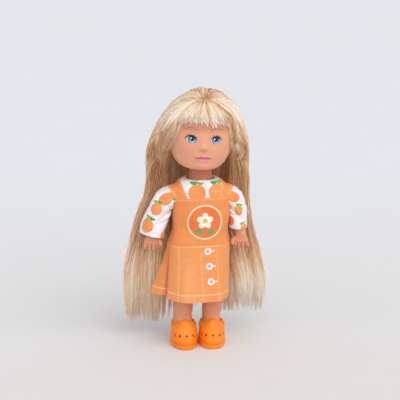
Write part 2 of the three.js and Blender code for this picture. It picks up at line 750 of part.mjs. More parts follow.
function buildLeg(side, name) {
  const rounding = 0.56 * hipDrumRadius;
  const drum = [[legInnerX, 0], [legInnerX, hipDrumRadius]];
  for (let k = 0; k <= 3; k += 1) {
    const angle = Math.PI / 2 * k / 3;
    const radius = hipDrumRadius - rounding + rounding * Math.cos(angle);
    drum.push([legOuterX - rounding + rounding * Math.sin(angle), radius]);
  }
  drum.push([legOuterX, 0]);
  let leg = turnedAboutX(drum, side, 0, hipZ, 18);
  leg = leg.add(column(shankStations(side), 9, 16)).add(footForm(side, 0));
  const headEnd = hipPinShaftReach + hipPinHeadThickness + runningGap;
  leg = leg.subtract(turnedAboutX([
    [0, 0],
    [0, hipPinRadius + runningGap],
    [hipPinShaftReach - runningGap, hipPinRadius + runningGap],
    [hipPinShaftReach - runningGap, hipPinHeadRadius + runningGap],
    [headEnd, hipPinHeadRadius + runningGap],
    [headEnd, 0],
  ], side, 0, hipZ, 12));
  place(name, leg, skinVinyl);
}

// The heel strap runs from the sides of the upper round the back of the ankle.
function heelStrap(side) {
  const strapTop = 0.8 * clogHeight;
  const inner = ankleRadius + seamGap;
  const outer = inner + strapThickness;
  const level = (z, margin) => [z, outer + margin, outer + margin, outer + margin];
  const levels = [level(strapTop - strapHeight, 0), level(strapTop, 0)];
  const hole = [level(0, -strapThickness), level(2 * clogHeight, -strapThickness)];
  return shoeForm(side, levels, 18).subtract(shoeForm(side, hole, 18));
}

function ventHoles(side) {
  const turn = (side > 0 ? toeOut.left : -toeOut.right) * degrees;
  const up = new THREE.Vector3(0, 0, 1);
  const holes = [];
  for (let k = 0; k < ventCount; k += 1) {
    const swing = (k / (ventCount - 1) - 0.5) * 116 * degrees;
    const out = new THREE.Vector3(Math.sin(swing) * 0.62, -Math.cos(swing) * 0.62, 0.78);
    const mouth = new THREE.Vector3(
      0.78 * clogHalfWidth * Math.sin(swing),
      -0.35 * clogFront - 0.42 * clogFront * Math.cos(swing),
      0.5 * clogHeight,
    );
    const from = mouth.clone().addScaledVector(out, -0.9 * clogWall).applyAxisAngle(up, turn);
    const to = mouth.clone().addScaledVector(out, 3 * clogWall).applyAxisAngle(up, turn);
    const shift = new THREE.Vector3(side * legX, 0, 0);
    holes.push(rod(from.add(shift).toArray(), to.add(shift).toArray(), ventRadius, 6));
  }
  return holes;
}

function buildClog(side, name) {
  const f = clogFront;
  const b = clogBack;
  const w = clogHalfWidth;
  const h = clogHeight;
  const band = soleThickness + 0.3;
  const levels = [
    [0, f - 0.5, b - 0.5, w - 0.5],
    [0.5, f, b, w],
    [soleThickness, f, b, w],
    [band, f - 0.5, b - 0.4, w - 0.4],
    [band + 0.3, f - 0.2, b - 0.3, w - 0.15],
    [band + 0.16 * h, f - 0.4, b - 0.3, w - 0.2],
    [band + 0.2 * h, f - 0.9, b - 0.3, w - 0.35],
    ...upperLine.map(([z, length, halfWidth]) => [z * h, length * f, b - 0.5, halfWidth * w]),
  ];
  const turn = (side > 0 ? toeOut.left : -toeOut.right) * degrees;
  const heelLip = 0.32 * h;
  const back = new THREE.BoxGeometry(4 * w, 4 * b, 4 * h);
  back.translate(0, 2 * b + 0.4, 2 * h + heelLip);
  // The mouth of the clog slopes from the top of the tongue down past the sides.
  const mouth = new THREE.BoxGeometry(4 * w, 4 * h, 4 * h);
  mouth.translate(0, 0, 2 * h);
  mouth.rotateX(-mouthSlope * degrees);
  mouth.translate(0, 0, 0.78 * h);
  let clog = shoeForm(side, levels, 20);
  for (const room of [back, mouth]) {
    room.rotateZ(turn);
    room.translate(side * legX, 0, 0);
    clog = clog.subtract(solid(room));
  }
  clog = clog.add(heelStrap(side));
  const above = [...shankStations(side)];
  above[0] = [side * legX, 0, hipZ, ankleRadius, ankleRadius];
  clog = clog.subtract(footForm(side, seamGap)).subtract(column(above, 6, 16, 2, seamGap));
  for (const hole of ventHoles(side)) {
    clog = clog.subtract(hole);
  }
  place(name, clog, orangeRubber);
}

// Dress

function buildBodice() {
  const outer = torsoBody(seamGap + cloth, placketEase, 11, 24);
  const inner = torsoBody(seamGap, placketEase, 11, 24);
  const far = 60;
  let bodice = outer.subtract(inner);
  bodice = bodice.subtract(block([-far, -far, -far], [far, far, waistZ]));
  bodice = bodice.subtract(rod([-far, 0, shoulderZ], [far, 0, shoulderZ], armholeRadius, 18));
  bodice = bodice.subtract(rod([0, 0, waistZ], [0, 0, 2 * far], necklineRadius, 18));
  const half = seamGap / 2;
  const frontSide = block([-far, -far, 0], [far, -half, 2 * far]);
  const backLeft = block([half, half, 0], [far, far, 2 * far]);
  const backRight = block([-far, half, 0], [-half, far, 2 * far]);
  place('bodice_front', bodice.intersect(frontSide), orangeCloth);
  place('bodice_back_left', bodice.intersect(backLeft), orangeCloth);
  place('bodice_back_right', bodice.intersect(backRight), orangeCloth);
  const bindingZ = torsoTopZ + 2 * seamGap + cloth;
  const binding = turnedAboutZ([
    [necklineRadius - 0.4, bindingZ],
    [necklineRadius + 0.5, bindingZ],
    [necklineRadius + 0.5, bindingZ + 0.6 * bindingHeight],
    [necklineRadius, bindingZ + bindingHeight],
    [necklineRadius - 0.4, bindingZ + 0.7 * bindingHeight],
    [necklineRadius - 0.4, bindingZ],
  ], 18);
  place('neck_binding', binding, whiteCloth);
}

// The touch-and-close tapes lie between the torso and the back opening of the bodice.
function buildTapes() {
  const low = waistZ + 0.6;
  const opening = block([-tapeWidth / 2, 0, low], [tapeWidth / 2, 2 * torsoHalfDepth, low + tapeLength]);
  const strip = (grow) => {
    const outside = torsoBody(grow + tapeThickness, 0, 12, 20);
    return outside.subtract(torsoBody(grow, 0, 12, 20)).intersect(opening);
  };
  place('loop_tape', strip(seamGap), tapeFabric);
  place('hook_tape', strip(2 * seamGap + tapeThickness), tapeFabric);
}

// The outside of the skirt. Turn is measured from +X towards +Y, drop is 0 at the waist and 1 at the hem.
function skirtPoint(turn, drop, inset) {
  const spread = drop ** 1.25;
  const frontness = Math.max(0, -Math.sin(turn));
  const halfWidth = dressHalfWidth + hemFlare * spread;
  const ease = placketEase * Math.max(0, Math.sin(turn)) * (1 - 0.6 * drop);
  const halfDepth = torsoHalfDepth + seamGap + cloth + hemDepthFlare * spread + ease;
  const pleat = sidePleatReach * bell(turn - 0.965 * Math.PI, 0.17);
  const backFolds = 0.9 * Math.max(0, Math.sin(turn)) * Math.cos(9 * turn);
  const leftFold = 1.1 * bell(turn - 0.28, 0.2);
  const frontWave = 0.35 * frontness * Math.cos(7 * turn + 0.6);
  const fold = spread * (pleat + backFolds + leftFold + frontWave);
  const at = (angle) => {
    const c = Math.cos(angle);
    const s = Math.sin(angle);
    const x = Math.sign(c) * Math.abs(c) ** 0.74 * halfWidth;
    const y = Math.sign(s) * Math.abs(s) ** 0.74 * halfDepth;
    return new THREE.Vector2(x, y);
  };
  const here = at(turn);
  const outward = here.clone().normalize();
  const folded = here.addScaledVector(outward, fold - inset);
  const hemRise = 1.4 * (1 - frontness);
  const z = waistZ - seamGap - drop * (skirtLength - seamGap - hemRise);
  return new THREE.Vector3(folded.x - hemShift * spread, folded.y, z);
}

function buildSkirt() {
  const edge = seamGap / 2 / dressHalfWidth;
  const panel = (name, from, to, across) => {
    const turnAt = (u) => from + edge + (to - from - 2 * edge) * u;
    const outer = (u, v) => skirtPoint(turnAt(u), v, 0);
    const inner = (u, v) => skirtPoint(turnAt(u), v, cloth);
    place(name, sheet(outer, inner, across, 6), orangeCloth);
  };
  panel('skirt_front', -Math.PI, 0, 20);
  panel('skirt_back_left', 0, Math.PI / 2, 16);
  panel('skirt_back_right', Math.PI / 2, Math.PI, 22);
}

// Hair

// The outside of the hair over the skull, narrowing upwards, with shallow flutes between its locks.
function hairDome(sides) {
  const levels = 7;
  const low = chinZ + 0.1 * headHeight;
  const rings = [];
  for (let k = 0; k < levels; k += 1) {
    const rise = Math.sin(Math.PI / 2 * k / (levels - 0.55));
    const z = low + (hairTopZ - low) * rise;
    const breadth = Math.sqrt(1 - rise * rise) ** 0.86;
    const ring = [];
    for (let i = 0; i < sides; i += 1) {
      const angle = TAU * i / sides;
      const flute = 1 + 0.012 * Math.cos(angle * sides / 4);
      const depth = Math.sin(angle) < 0 ? hairFrontDepth : hairBackDepth;
      const x = hairHalfWidth * breadth * Math.cos(angle) * flute;
      const y = depth * breadth * Math.sin(angle) * flute;
      ring.push(new THREE.Vector3(x, y, z));
    }
    rings.push(ring);
  }
  const pivot = new THREE.Vector3(0, 0, neckTopZ);
  for (const point of rings.flat()) {
    point.sub(pivot).applyAxisAngle(new THREE.Vector3(0, 1, 0), headTilt * degrees).add(pivot);
  }
  return loft(rings);
}

const headRoom = headSkin(2 * seamGap, false, 22, 12, 0);
const fringeTopZ = fringeZ + 0.62 * fringeDrop;

function fringeBox(margin) {
  return block(
    [-fringeHalfWidth - margin, -3 * hairFrontDepth, fringeZ - margin],
    [fringeHalfWidth + margin, -0.42 * hairFrontDepth + margin, fringeTopZ + margin],
  );
}

function buildHairTop() {
  const dome = hairDome(40).subtract(headRoom);
  const far = 100;
  const above = block([-far, -far, fringeZ], [far, far, 2 * far]);
  place('hair_crown', dome.intersect(above).subtract(fringeBox(seamGap)), hairFibre);
  place('hair_fringe', dome.intersect(fringeBox(0)), hairFibre);
}

// The back length hangs from the back of the head, clear of the bodice and the skirt.
function hairBackRings(grow) {
  const top = fringeZ - seamGap;
  const clearY = torsoHalfDepth + placketEase + cloth + 2 * seamGap;
  const w = backHairHalfWidth;
  const stations = [
    [0.8, 0.6 * hairBackDepth, top + grow, 0.9 * w, 0.3 * hairBackDepth],
    [0.5, 0.66 * hairBackDepth, 0.5 * (top + neckTopZ), w, 0.3 * hairBackDepth],
    [0, clearY + 2.6, torsoTopZ + 2, w, 2.5],
    [0, clearY + 2, shoulderZ - 4, w, 1.8],
    [0, clearY + 2.6, waistZ, w, 1.7],
    [0, clearY + 3.9, 0.5 * (waistZ + backHairEnd), w, 1.6],
    [0, clearY + 4.8, backHairEnd - grow, 0.92 * w, 1.2],
  ];
  return fluted(columnRings(stations, 12, 24, 2.6, grow), 0.25);
}

// Shallow grooves between the locks, deeper towards the ends of the hair.
function fluted(rings, depth) {
  rings.forEach((ring, level) => {
    const middle = new THREE.Vector3();
    ring.forEach((point) => middle.addScaledVector(point, 1 / ring.length));
    ring.forEach((point, i) => {
      const groove = depth * (0.4 + 0.6 * level / rings.length) * Math.cos(Math.PI * i / 2);
      const outward = point.clone().sub(middle).setX(0).normalize();
      point.addScaledVector(outward, groove);
    });
  });
  return rings;
}

function hairSideRings(side) {
  const name = side > 0 ? 'left' : 'right';
  const reach = hairReach[name];
  const [atNeck, atShoulder, atElbow, atHip] = hairSpread[name];
  const top = fringeZ - seamGap;
  const lean = (z) => Math.tan(headTilt * degrees) * (z - neckTopZ);
  const y = cuffHalfDepth + 2 * seamGap + hairHalfDepth;
  const inner = backHairHalfWidth + 2 * seamGap;
  const headX = 0.5 * (hairHalfWidth + 0.52 * headHalfWidth);
  const headHalf = hairHalfWidth - headX;
  // A level of the lengths behind the arms, out to a share of the reach
  const level = (share, z, depth) => {
    const outer = share * reach;
    return [side * 0.5 * (inner + outer), y, z, 0.5 * (outer - inner), depth * hairHalfDepth];
  };
  const neck = level(atNeck, torsoTopZ + 0.1 * torsoLength, 1.3);
  const earZ = headMidZ - 0.12 * headHeight;
  const ear = [side * headX + lean(headMidZ), 0.1 * y, earZ, headHalf, headFrontDepth * 0.66];
  return fluted(columnRings([
    [side * headX + lean(top), 0, top, 0.7 * headHalf, headFrontDepth * 0.68],
    ear,
    [0.5 * (ear[0] + neck[0]), 0.45 * y, chinZ + 0.1 * headHeight, headHalf, headFrontDepth * 0.56],
    neck,
    level(atShoulder, shoulderZ - 0.2 * torsoLength, 1),
    level(atElbow, waistZ + 0.2 * torsoLength, 1),
    level(atHip, 0.75 * hipZ, 0.9),
    level(1, 0.5 * hipZ, 0.8),
    level(0.96, hairEnd[name], 0.5),
  ], 14, 20, 2.3), 0.3);
}

// Pointed gaps between the ends of the locks, across a length that ends at that height.
function notches(places, end) {
  return places.map((x) => {
    const shape = new THREE.Shape();
    shape.moveTo(x - notchHalfWidth, end - 1);
    shape.lineTo(x + notchHalfWidth, end - 1);
    shape.lineTo(x, end + notchHeight);
    const geometry = new THREE.ExtrudeGeometry(shape, { depth: 60, bevelEnabled: false });
    geometry.rotateX(Math.PI / 2);
    geometry.translate(0, 60, 0);
    return solid(geometry);
  });
}

function buildHairLengths() {
  let back = loft(hairBackRings(0)).subtract(headRoom);
  const gapsBehind = [-0.5, 0, 0.5].map((share) => share * backHairHalfWidth);
  for (const notch of notches(gapsBehind, backHairEnd)) {
    back = back.subtract(notch);
  }
  place('hair_back', back, hairFibre);
  const backRoom = loft(hairBackRings(seamGap));
  for (const [side, name] of [[1, 'left'], [-1, 'right']]) {
    const inner = backHairHalfWidth;
    const wide = hairReach[name] - inner;
    let lock = loft(hairSideRings(side)).subtract(headRoom).subtract(backRoom);
    const gaps = [0.3, 0.52, 0.74].map((share) => side * (inner + share * wide));
    for (const notch of notches(gaps, hairEnd[name])) {
      lock = lock.subtract(notch);
    }
    place(`hair_${name}`, lock, hairFibre);
  }
}

buildTorso();
buildNeck();
buildHipPin();
buildHead();
for (const [side, name] of [[1, 'left'], [-1, 'right']]) {
  buildArm(side, `arm_${name}`);
  buildSleeve(side, `sleeve_${name}`);
  buildLeg(side, `leg_${name}`);
  buildClog(side, `clog_${name}`);
}
buildBodice();
buildTapes();
buildSkirt();
buildHairTop();
buildHairLengths();

// The origin is the middle of the doll's footprint, on the floor.
const bounds = new THREE.Box3().setFromObject(doll);
const middle = bounds.getCenter(new THREE.Vector3());
doll.position.set(-middle.x, -middle.y, -bounds.min.z);

export default doll;
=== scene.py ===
import json

import bpy
import numpy as np
from mathutils import Matrix, Vector


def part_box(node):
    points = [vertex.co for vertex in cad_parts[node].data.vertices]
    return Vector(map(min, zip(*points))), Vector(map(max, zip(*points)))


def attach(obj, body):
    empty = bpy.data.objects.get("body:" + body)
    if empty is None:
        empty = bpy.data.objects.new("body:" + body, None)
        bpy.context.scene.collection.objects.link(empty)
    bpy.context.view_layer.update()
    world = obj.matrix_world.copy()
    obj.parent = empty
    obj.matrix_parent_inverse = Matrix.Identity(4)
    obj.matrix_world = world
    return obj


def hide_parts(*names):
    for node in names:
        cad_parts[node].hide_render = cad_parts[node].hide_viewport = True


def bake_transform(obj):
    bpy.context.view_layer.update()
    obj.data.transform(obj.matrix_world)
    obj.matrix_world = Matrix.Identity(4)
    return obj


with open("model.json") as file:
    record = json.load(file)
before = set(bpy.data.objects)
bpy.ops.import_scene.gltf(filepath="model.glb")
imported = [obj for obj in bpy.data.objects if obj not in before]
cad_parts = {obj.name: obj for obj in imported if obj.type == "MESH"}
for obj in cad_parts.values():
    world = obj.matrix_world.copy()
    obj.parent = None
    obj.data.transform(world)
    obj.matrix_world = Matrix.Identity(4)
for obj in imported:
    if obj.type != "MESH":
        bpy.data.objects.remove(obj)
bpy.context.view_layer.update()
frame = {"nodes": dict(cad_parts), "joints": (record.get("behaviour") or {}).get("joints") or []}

# A 12 cm child fashion doll with long straight hair, a printed pinafore dress and clogs.
# Shapes are worked out in millimetres in the doll's own frame: it faces -Y, its left side
# is +X, its soles stand on z = 0 and x = y = 0 is the middle of its neck.

joint_at = {joint["name"]: np.array(joint["pos_m"]) for joint in frame["joints"]}
MM = 0.001
ORIGIN = 0.5 * (joint_at["hip_left"] + joint_at["hip_right"]) * [1, 1, 0]


def in_doll(point):
    return (np.array(point) - ORIGIN) / MM


def node_box(name):
    """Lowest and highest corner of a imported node, in millimetres of the doll's frame."""
    low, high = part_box(name)
    return in_doll(low), in_doll(high)


HIP_Z = in_doll(joint_at["hip_left"])[2]
SHOULDER_Z = in_doll(joint_at["shoulder_left"])[2]
NECK_TOP_Z = in_doll(joint_at["head_turn"])[2]
LEG_X = in_doll(joint_at["hip_left"])[0]
ARM_X = in_doll(joint_at["shoulder_left"])[0]
WAIST_Z = node_box("bodice_front")[0][2]
HEM_Z = node_box("skirt_front")[0][2]
TORSO_HIGH = node_box("torso_front")[1]
TORSO_TOP_Z = TORSO_HIGH[2]
TORSO_HALF_WIDTH = TORSO_HIGH[0]
TORSO_HALF_DEPTH = 7.4
TORSO_POWER = 2.6  # of its superellipse sections
NECKLINE_RADIUS = 6.4
ARMHOLE_RADIUS = 5.0
CLOTH_IN, CLOTH_OUT = 0.55, 0.95  # from the torso to the bodice's inside and outside
BIB_UP = 21.6  # the bib's top edge over the waist
CHIN_Z = NECK_TOP_Z - 1.0
HEAD_HEIGHT = 33.7
CROWN_Z = CHIN_Z + HEAD_HEIGHT
HEAD_MID_Z = CHIN_Z + HEAD_HEIGHT / 2
HEAD_TILT = np.radians(3.0)
HEAD_SHIFT = -0.8
HAIR_TOP_Z = node_box("hair_crown")[1][2]
SIDES = {"left": 1, "right": -1}
EYE_UP, NOSE_UP, MOUTH_UP = 14.5, 11.2, 6.2  # above the chin
EYE_OUT = 5.3
FACE_SHIFT, MOUTH_SHIFT = -0.65, -0.25
MOUTH_HALF_WIDTH = 3.8


# Helpers for values and colours


def smooth(value, low, high):
    """Smoothstep from 0 at low to 1 at high; low may be the larger one."""
    t = np.clip((value - low) / (high - low), 0, 1)
    return t * t * (3 - 2 * t)


def bell(distance, spread):
    return np.exp(-((distance / spread) ** 2))


def linear(colour):
    """Linear values of a colour given as it is written for a screen, 0 to 255."""
    c = np.asarray(colour, float) / 255
    return np.where(c <= 0.04045, c / 12.92, ((c + 0.055) / 1.055) ** 2.4)


def plain(colour, count):
    """The same colour for each of that many points."""
    return np.tile(np.array(colour, float), (count, 1))


def laid_over(colours, mask, colour):
    """Colours with another laid over them where the mask is 1."""
    return colours + (np.asarray(colour, float) - colours) * mask[:, None]


def inside(distance, edge=0.1):
    """1 where a signed distance is positive, with an edge of about twice 0.1 mm."""
    return smooth(distance, -edge, edge)


# Helpers for meshes


def outward(points, quads, triangles):
    """Faces of a closed mesh, turned out by the sign of the volume that they enclose."""
    fans = np.concatenate([quads[:, [0, 1, 2]], quads[:, [0, 2, 3]], triangles])
    a, b, c = (points[fans[:, i]] - points.mean(0) for i in range(3))
    if (a * np.cross(b, c)).sum() < 0:
        return quads[:, ::-1], triangles[:, ::-1]
    return quads, triangles


def mesh_object(name, points, quads, triangles=()):
    """A closed mesh through points in millimetres of the doll's frame."""
    points = np.asarray(points, float).reshape(-1, 3)
    quads = np.asarray(quads, np.int64).reshape(-1, 4)
    triangles = np.asarray(triangles, np.int64).reshape(-1, 3)
    quads, triangles = outward(points, quads, triangles)
    corners = np.concatenate([quads.ravel(), triangles.ravel()]).astype(np.int32)
    starts = np.concatenate([4 * np.arange(len(quads)), 4 * len(quads) + 3 * np.arange(len(triangles))])
    mesh = bpy.data.meshes.new(name)
    mesh.vertices.add(len(points))
    mesh.vertices.foreach_set("co", (points * MM + ORIGIN).astype(np.float32).ravel())
    mesh.loops.add(len(corners))
    mesh.loops.foreach_set("vertex_index", corners)
    mesh.polygons.add(len(starts))
    mesh.polygons.foreach_set("loop_start", starts.astype(np.int32))
    mesh.update(calc_edges=True)
    mesh.validate()
    mesh.shade_smooth()
    made = bpy.data.objects.new(name, mesh)
    bpy.context.scene.collection.objects.link(made)
    return made


def ring_quads(rows, columns, closed=True):
    """Quads between neighbouring rows of a grid of points, closed round its columns or not."""
    r, c = np.meshgrid(np.arange(rows - 1), np.arange(columns if closed else columns - 1), indexing="ij")
    n = (c + 1) % columns
    low, high = r * columns, (r + 1) * columns
    return np.stack([low + c, low + n, high + n, high + c], -1).reshape(-1, 4)


def tube(rings):
    """Points, quads and triangles of a closed body through rings (rows, columns, 3), a fan at each end."""
    rows, columns = rings.shape[:2]
    points = np.concatenate([rings.reshape(-1, 3), rings[[0, -1]].mean(1)])
    here = np.arange(columns)
    following = (here + 1) % columns
    last = (rows - 1) * columns
    low = np.stack([following, here, np.full(columns, rows * columns)], -1)
    high = np.stack([last + here, last + following, np.full(columns, rows * columns + 1)], -1)
    return points, ring_quads(rows, columns), np.concatenate([low, high])


def sheet(outer, inner, closed=False):
    """Points and quads of a sheet between two grids (rows, columns, 3), with rims along its edges."""
    rows, columns = outer.shape[:2]
    total = rows * columns
    face = ring_quads(rows, columns, closed)
    rims = []
    grid = np.arange(total).reshape(rows, columns)
    edges = [grid[0], grid[-1][::-1]]
    if not closed:
        edges += [grid[::-1, 0], grid[:, -1]]
    for edge in edges:
        run = np.append(edge, edge[0]) if closed else edge
        rims.append(np.stack([run[1:], run[:-1], run[:-1] + total, run[1:] + total], -1))
    points = np.concatenate([outer.reshape(-1, 3), inner.reshape(-1, 3)])
    return points, np.concatenate([face, face[:, ::-1] + total, *rims])


def inset(grid, thickness, closed=False):
    """The grid moved in along its normals, which come from its neighbouring points."""
    around = np.roll(grid, -1, 1) - np.roll(grid, 1, 1) if closed else np.gradient(grid, axis=1)
    normal = np.cross(around, np.gradient(grid, axis=0))
    normal /= np.linalg.norm(normal, axis=-1, keepdims=True) + 1e-9
    return grid - normal * thickness


def joined(name, bodies):
    """One mesh of several closed bodies, each given as points, quads and triangles."""
    points, quads, triangles, count = [], [], [], 0
    for body in bodies:
        p, q, t = body
        q, t = outward(p, q, t)
        points.append(p)
        quads.append(q + count)
        triangles.append(t + count)
        count += len(p)
    return mesh_object(name, np.concatenate(points), np.concatenate(quads), np.concatenate(triangles))


def settle(piece):
    """Makes what the piece's modifiers give its own mesh."""
    graph = bpy.context.evaluated_depsgraph_get()
    mesh = bpy.data.meshes.new_from_object(piece.evaluated_get(graph))
    piece.modifiers.clear()
    piece.data = mesh
    return piece


def combine(piece, operation, *tools):
    """Cuts the tools from the piece, joins them to it or keeps what they share, and removes them."""
    for tool in tools:
        change = piece.modifiers.new("combine", "BOOLEAN")
        change.operation = operation
        change.solver = "MANIFOLD"
        change.object = tool
    settle(piece)
    for tool in tools:
        bpy.data.objects.remove(tool)
    return piece


def fused(piece, voxel, smoothing):
    """Overlapping bodies grown into one smooth skin, as a moulding is."""
    skin = piece.modifiers.new("skin", "REMESH")
    skin.mode = "VOXEL"
    skin.voxel_size = voxel * MM
    soften = piece.modifiers.new("soften", "SMOOTH")
    soften.factor = 0.6
    soften.iterations = smoothing
    settle(piece)
    piece.data.shade_smooth()
    return piece


def points_of(piece):
    flat = np.zeros(3 * len(piece.data.vertices), np.float32)
    piece.data.vertices.foreach_get("co", flat)
    return (flat.reshape(-1, 3) - ORIGIN) / MM


def put(piece, name, values):
    """Stores one value, vector or colour for each point of the mesh."""
    values = np.asarray(values, np.float32)
    kind, field = {1: ("FLOAT", "value"), 3: ("FLOAT_VECTOR", "vector"), 4: ("FLOAT_COLOR", "color")}[
        1 if values.ndim == 1 else values.shape[1]
    ]
    piece.data.attributes.new(name, kind, "POINT").data.foreach_set(field, values.ravel())


def painted(piece, colours):
    """Gives the mesh its printed or painted colours, as they are written for a screen."""
    put(piece, "paint", np.column_stack([linear(colours), np.ones(len(colours))]))


def spline(stations, count):
    """A Catmull-Rom curve through the stations, in even steps of its parameter."""
    s = np.asarray(stations, float)
    held = np.vstack([2 * s[0] - s[1], s, 2 * s[-1] - s[-2]])
    t = np.linspace(0, len(s) - 1, count)
    k = np.minimum(t.astype(int), len(s) - 2)
    f = (t - k)[:, None]
    a, b, c, d = (held[k + i] for i in range(4))
    return 0.5 * (2 * b + (c - a) * f + (2 * a - 5 * b + 4 * c - d) * f**2 + (3 * b - a - 3 * c + d) * f**3)


def oval(turn, power):
    """Cosine and sine of the turn drawn towards a superellipse of that power."""
    c, s = np.cos(turn), np.sin(turn)
    return np.sign(c) * np.abs(c) ** (2 / power), np.sign(s) * np.abs(s) ** (2 / power)


def full_turn(sides):
    """Even angles once round, in radians."""
    return 2 * np.pi * np.arange(sides) / sides


def column(stations, count, sides):
    """Level rings on a smooth line through stations of x, y, z, half width and half depth."""
    line = spline(stations, count)[:, :, None]
    turn = full_turn(sides)
    x = line[:, 0] + np.cos(turn) * line[:, 3]
    y = line[:, 1] + np.sin(turn) * line[:, 4]
    return np.stack([x, y, np.broadcast_to(line[:, 2], x.shape)], -1)


def turned(profile, side, z, sides):
    """A body turned about an axis along X at that height, from a profile of x and radius."""
    x, radius = np.array(profile, float).T
    turn = full_turn(sides)
    rings = np.stack([
        np.repeat(side * x[:, None], sides, 1),
        radius[:, None] * np.cos(turn),
        z + radius[:, None] * np.sin(turn),
    ], -1)
    return tube(rings)


def dome(centre, radii, rows=14, sides=28):
    """An ellipsoid: rings between its poles, with the radii along X, Y and Z."""
    level = np.linspace(-np.pi / 2, np.pi / 2, rows + 2)[1:-1, None]
    turn = full_turn(sides)
    across, up = np.cos(level), np.sin(level)
    shape = np.stack([across * np.cos(turn), across * np.sin(turn), up + 0 * turn], -1)
    return tube(np.array(centre) + shape * radii)


def gathered(low, high, count, focus, spread, weight):
    """Values from low to high that crowd round the focus, by the sum of a density."""
    fine = np.linspace(low, high, 4000)
    density = 1 + weight * bell(fine - focus, spread)
    share = np.cumsum(density)
    return np.interp(np.linspace(share[0], share[-1], count), share, fine)


# Materials. Patterns read the object's own coordinates in metres or a stored vector in millimetres.


def new_material(name, roughness, sheen=0.0, subsurface=0.0):
    made = bpy.data.materials.new(name)
    made.use_nodes = True
    nodes, links = made.node_tree.nodes, made.node_tree.links
    shader = nodes["Principled BSDF"]
    shader.inputs["Roughness"].default_value = roughness
    shader.inputs["Sheen Weight"].default_value = sheen
    shader.inputs["Subsurface Weight"].default_value = subsurface
    shader.inputs["Subsurface Radius"].default_value = (1.0, 0.45, 0.3)
    shader.inputs["Subsurface Scale"].default_value = 1.2 * MM
    return made, nodes, links, shader


def noise(nodes, links, vector, scale, detail=2.0):
    made = nodes.new("ShaderNodeTexNoise")
    made.inputs["Scale"].default_value = scale
    made.inputs["Detail"].default_value = detail
    links.new(vector, made.inputs["Vector"])
    return made.outputs["Fac"]


def remap(nodes, links, value, low, high):
    made = nodes.new("ShaderNodeMapRange")
    made.inputs["From Min"].default_value = 0.3
    made.inputs["From Max"].default_value = 0.7
    made.inputs["To Min"].default_value = low
    made.inputs["To Max"].default_value = high
    links.new(value, made.inputs["Value"])
    return made.outputs["Result"]


def toned(nodes, links, colour, value, low, high):
    """The colour made darker or lighter by a pattern."""
    made = nodes.new("ShaderNodeVectorMath")
    made.operation = "SCALE"
    links.new(colour, made.inputs[0])
    links.new(remap(nodes, links, value, low, high), made.inputs["Scale"])
    return made.outputs["Vector"]


def bump(nodes, links, shader, height, distance, strength):
    made = nodes.new("ShaderNodeBump")
    made.inputs["Distance"].default_value = distance * MM
    made.inputs["Strength"].default_value = strength
    links.new(height, made.inputs["Height"])
    links.new(made.outputs["Normal"], shader.inputs["Normal"])


def stored(nodes, name):
    made = nodes.new("ShaderNodeAttribute")
    made.attribute_name = name
    return made


def plain_colour(nodes, colour):
    made = nodes.new("ShaderNodeRGB")
    made.outputs[0].default_value = (*linear(colour), 1)
    return made.outputs[0]


def moulded(name, colour, roughness, grain, subsurface=0.1):
    """Moulded plastic: its own colour or the painted one, faint mottling and a fine grain."""
    made, nodes, links, shader = new_material(name, roughness, subsurface=subsurface)
    place = nodes.new("ShaderNodeTexCoord").outputs["Object"]
    base = stored(nodes, "paint").outputs["Color"] if colour is None else plain_colour(nodes, colour)
    mottled = toned(nodes, links, base, noise(nodes, links, place, 160), 0.97, 1.03)
    links.new(mottled, shader.inputs["Base Color"])
    links.new(remap(nodes, links, noise(nodes, links, place, 420), roughness - 0.05, roughness + 0.07),
              shader.inputs["Roughness"])
    bump(nodes, links, shader, noise(nodes, links, place, 2600, 3.0), grain, 0.35)
    return made


def woven(name, thread, sheen):
    """Printed satin: the print, crossed threads in mm along the cloth, a soft sheen and a slub."""
    made, nodes, links, shader = new_material(name, 0.5, sheen=sheen)
    shader.inputs["Sheen Roughness"].default_value = 0.4
    along = stored(nodes, "weave").outputs["Vector"]
    threads = []
    for direction in ("X", "Y"):
        wave = nodes.new("ShaderNodeTexWave")
        wave.bands_direction = direction
        wave.inputs["Scale"].default_value = 0.314 / thread
        wave.inputs["Distortion"].default_value = 0.4
        links.new(along, wave.inputs["Vector"])
        threads.append(wave.outputs["Fac"])
    crossed = nodes.new("ShaderNodeMath")
    crossed.operation = "MAXIMUM"
    links.new(threads[0], crossed.inputs[0])
    links.new(threads[1], crossed.inputs[1])
    base = toned(nodes, links, stored(nodes, "paint").outputs["Color"], crossed.outputs[0], 0.94, 1.02)
    base = toned(nodes, links, base, noise(nodes, links, along, 0.35), 0.96, 1.04)
    links.new(base, shader.inputs["Base Color"])
    links.new(remap(nodes, links, noise(nodes, links, along, 0.8), 0.42, 0.58), shader.inputs["Roughness"])
    bump(nodes, links, shader, crossed.outputs[0], 0.05, 0.5)
    return made


def fibre(name):
    """Doll hair: a stored tone, which carries painted light and shade, runs from honey to pale blond, and a
    faint painted glow stands in for light passing through the fibres.
    """
    made, nodes, links, shader = new_material(name, 0.36)
    ramp = nodes.new("ShaderNodeValToRGB")
    ramp.color_ramp.elements[0].color = (*linear((180, 126, 84)), 1)
    ramp.color_ramp.elements[1].color = (*linear((255, 250, 240)), 1)
    for place, colour in ((0.4, (228, 184, 142)), (0.75, (250, 229, 203))):
        ramp.color_ramp.elements.new(place).color = (*linear(colour), 1)
    links.new(stored(nodes, "tone").outputs["Fac"], ramp.inputs["Fac"])
    links.new(ramp.outputs["Color"], shader.inputs["Base Color"])
    # Painted glow: the hair emits its own colour weakly, in place of light that passes through the strands.
    links.new(ramp.outputs["Color"], shader.inputs["Emission Color"])
    shader.inputs["Emission Strength"].default_value = 0.07
    return made


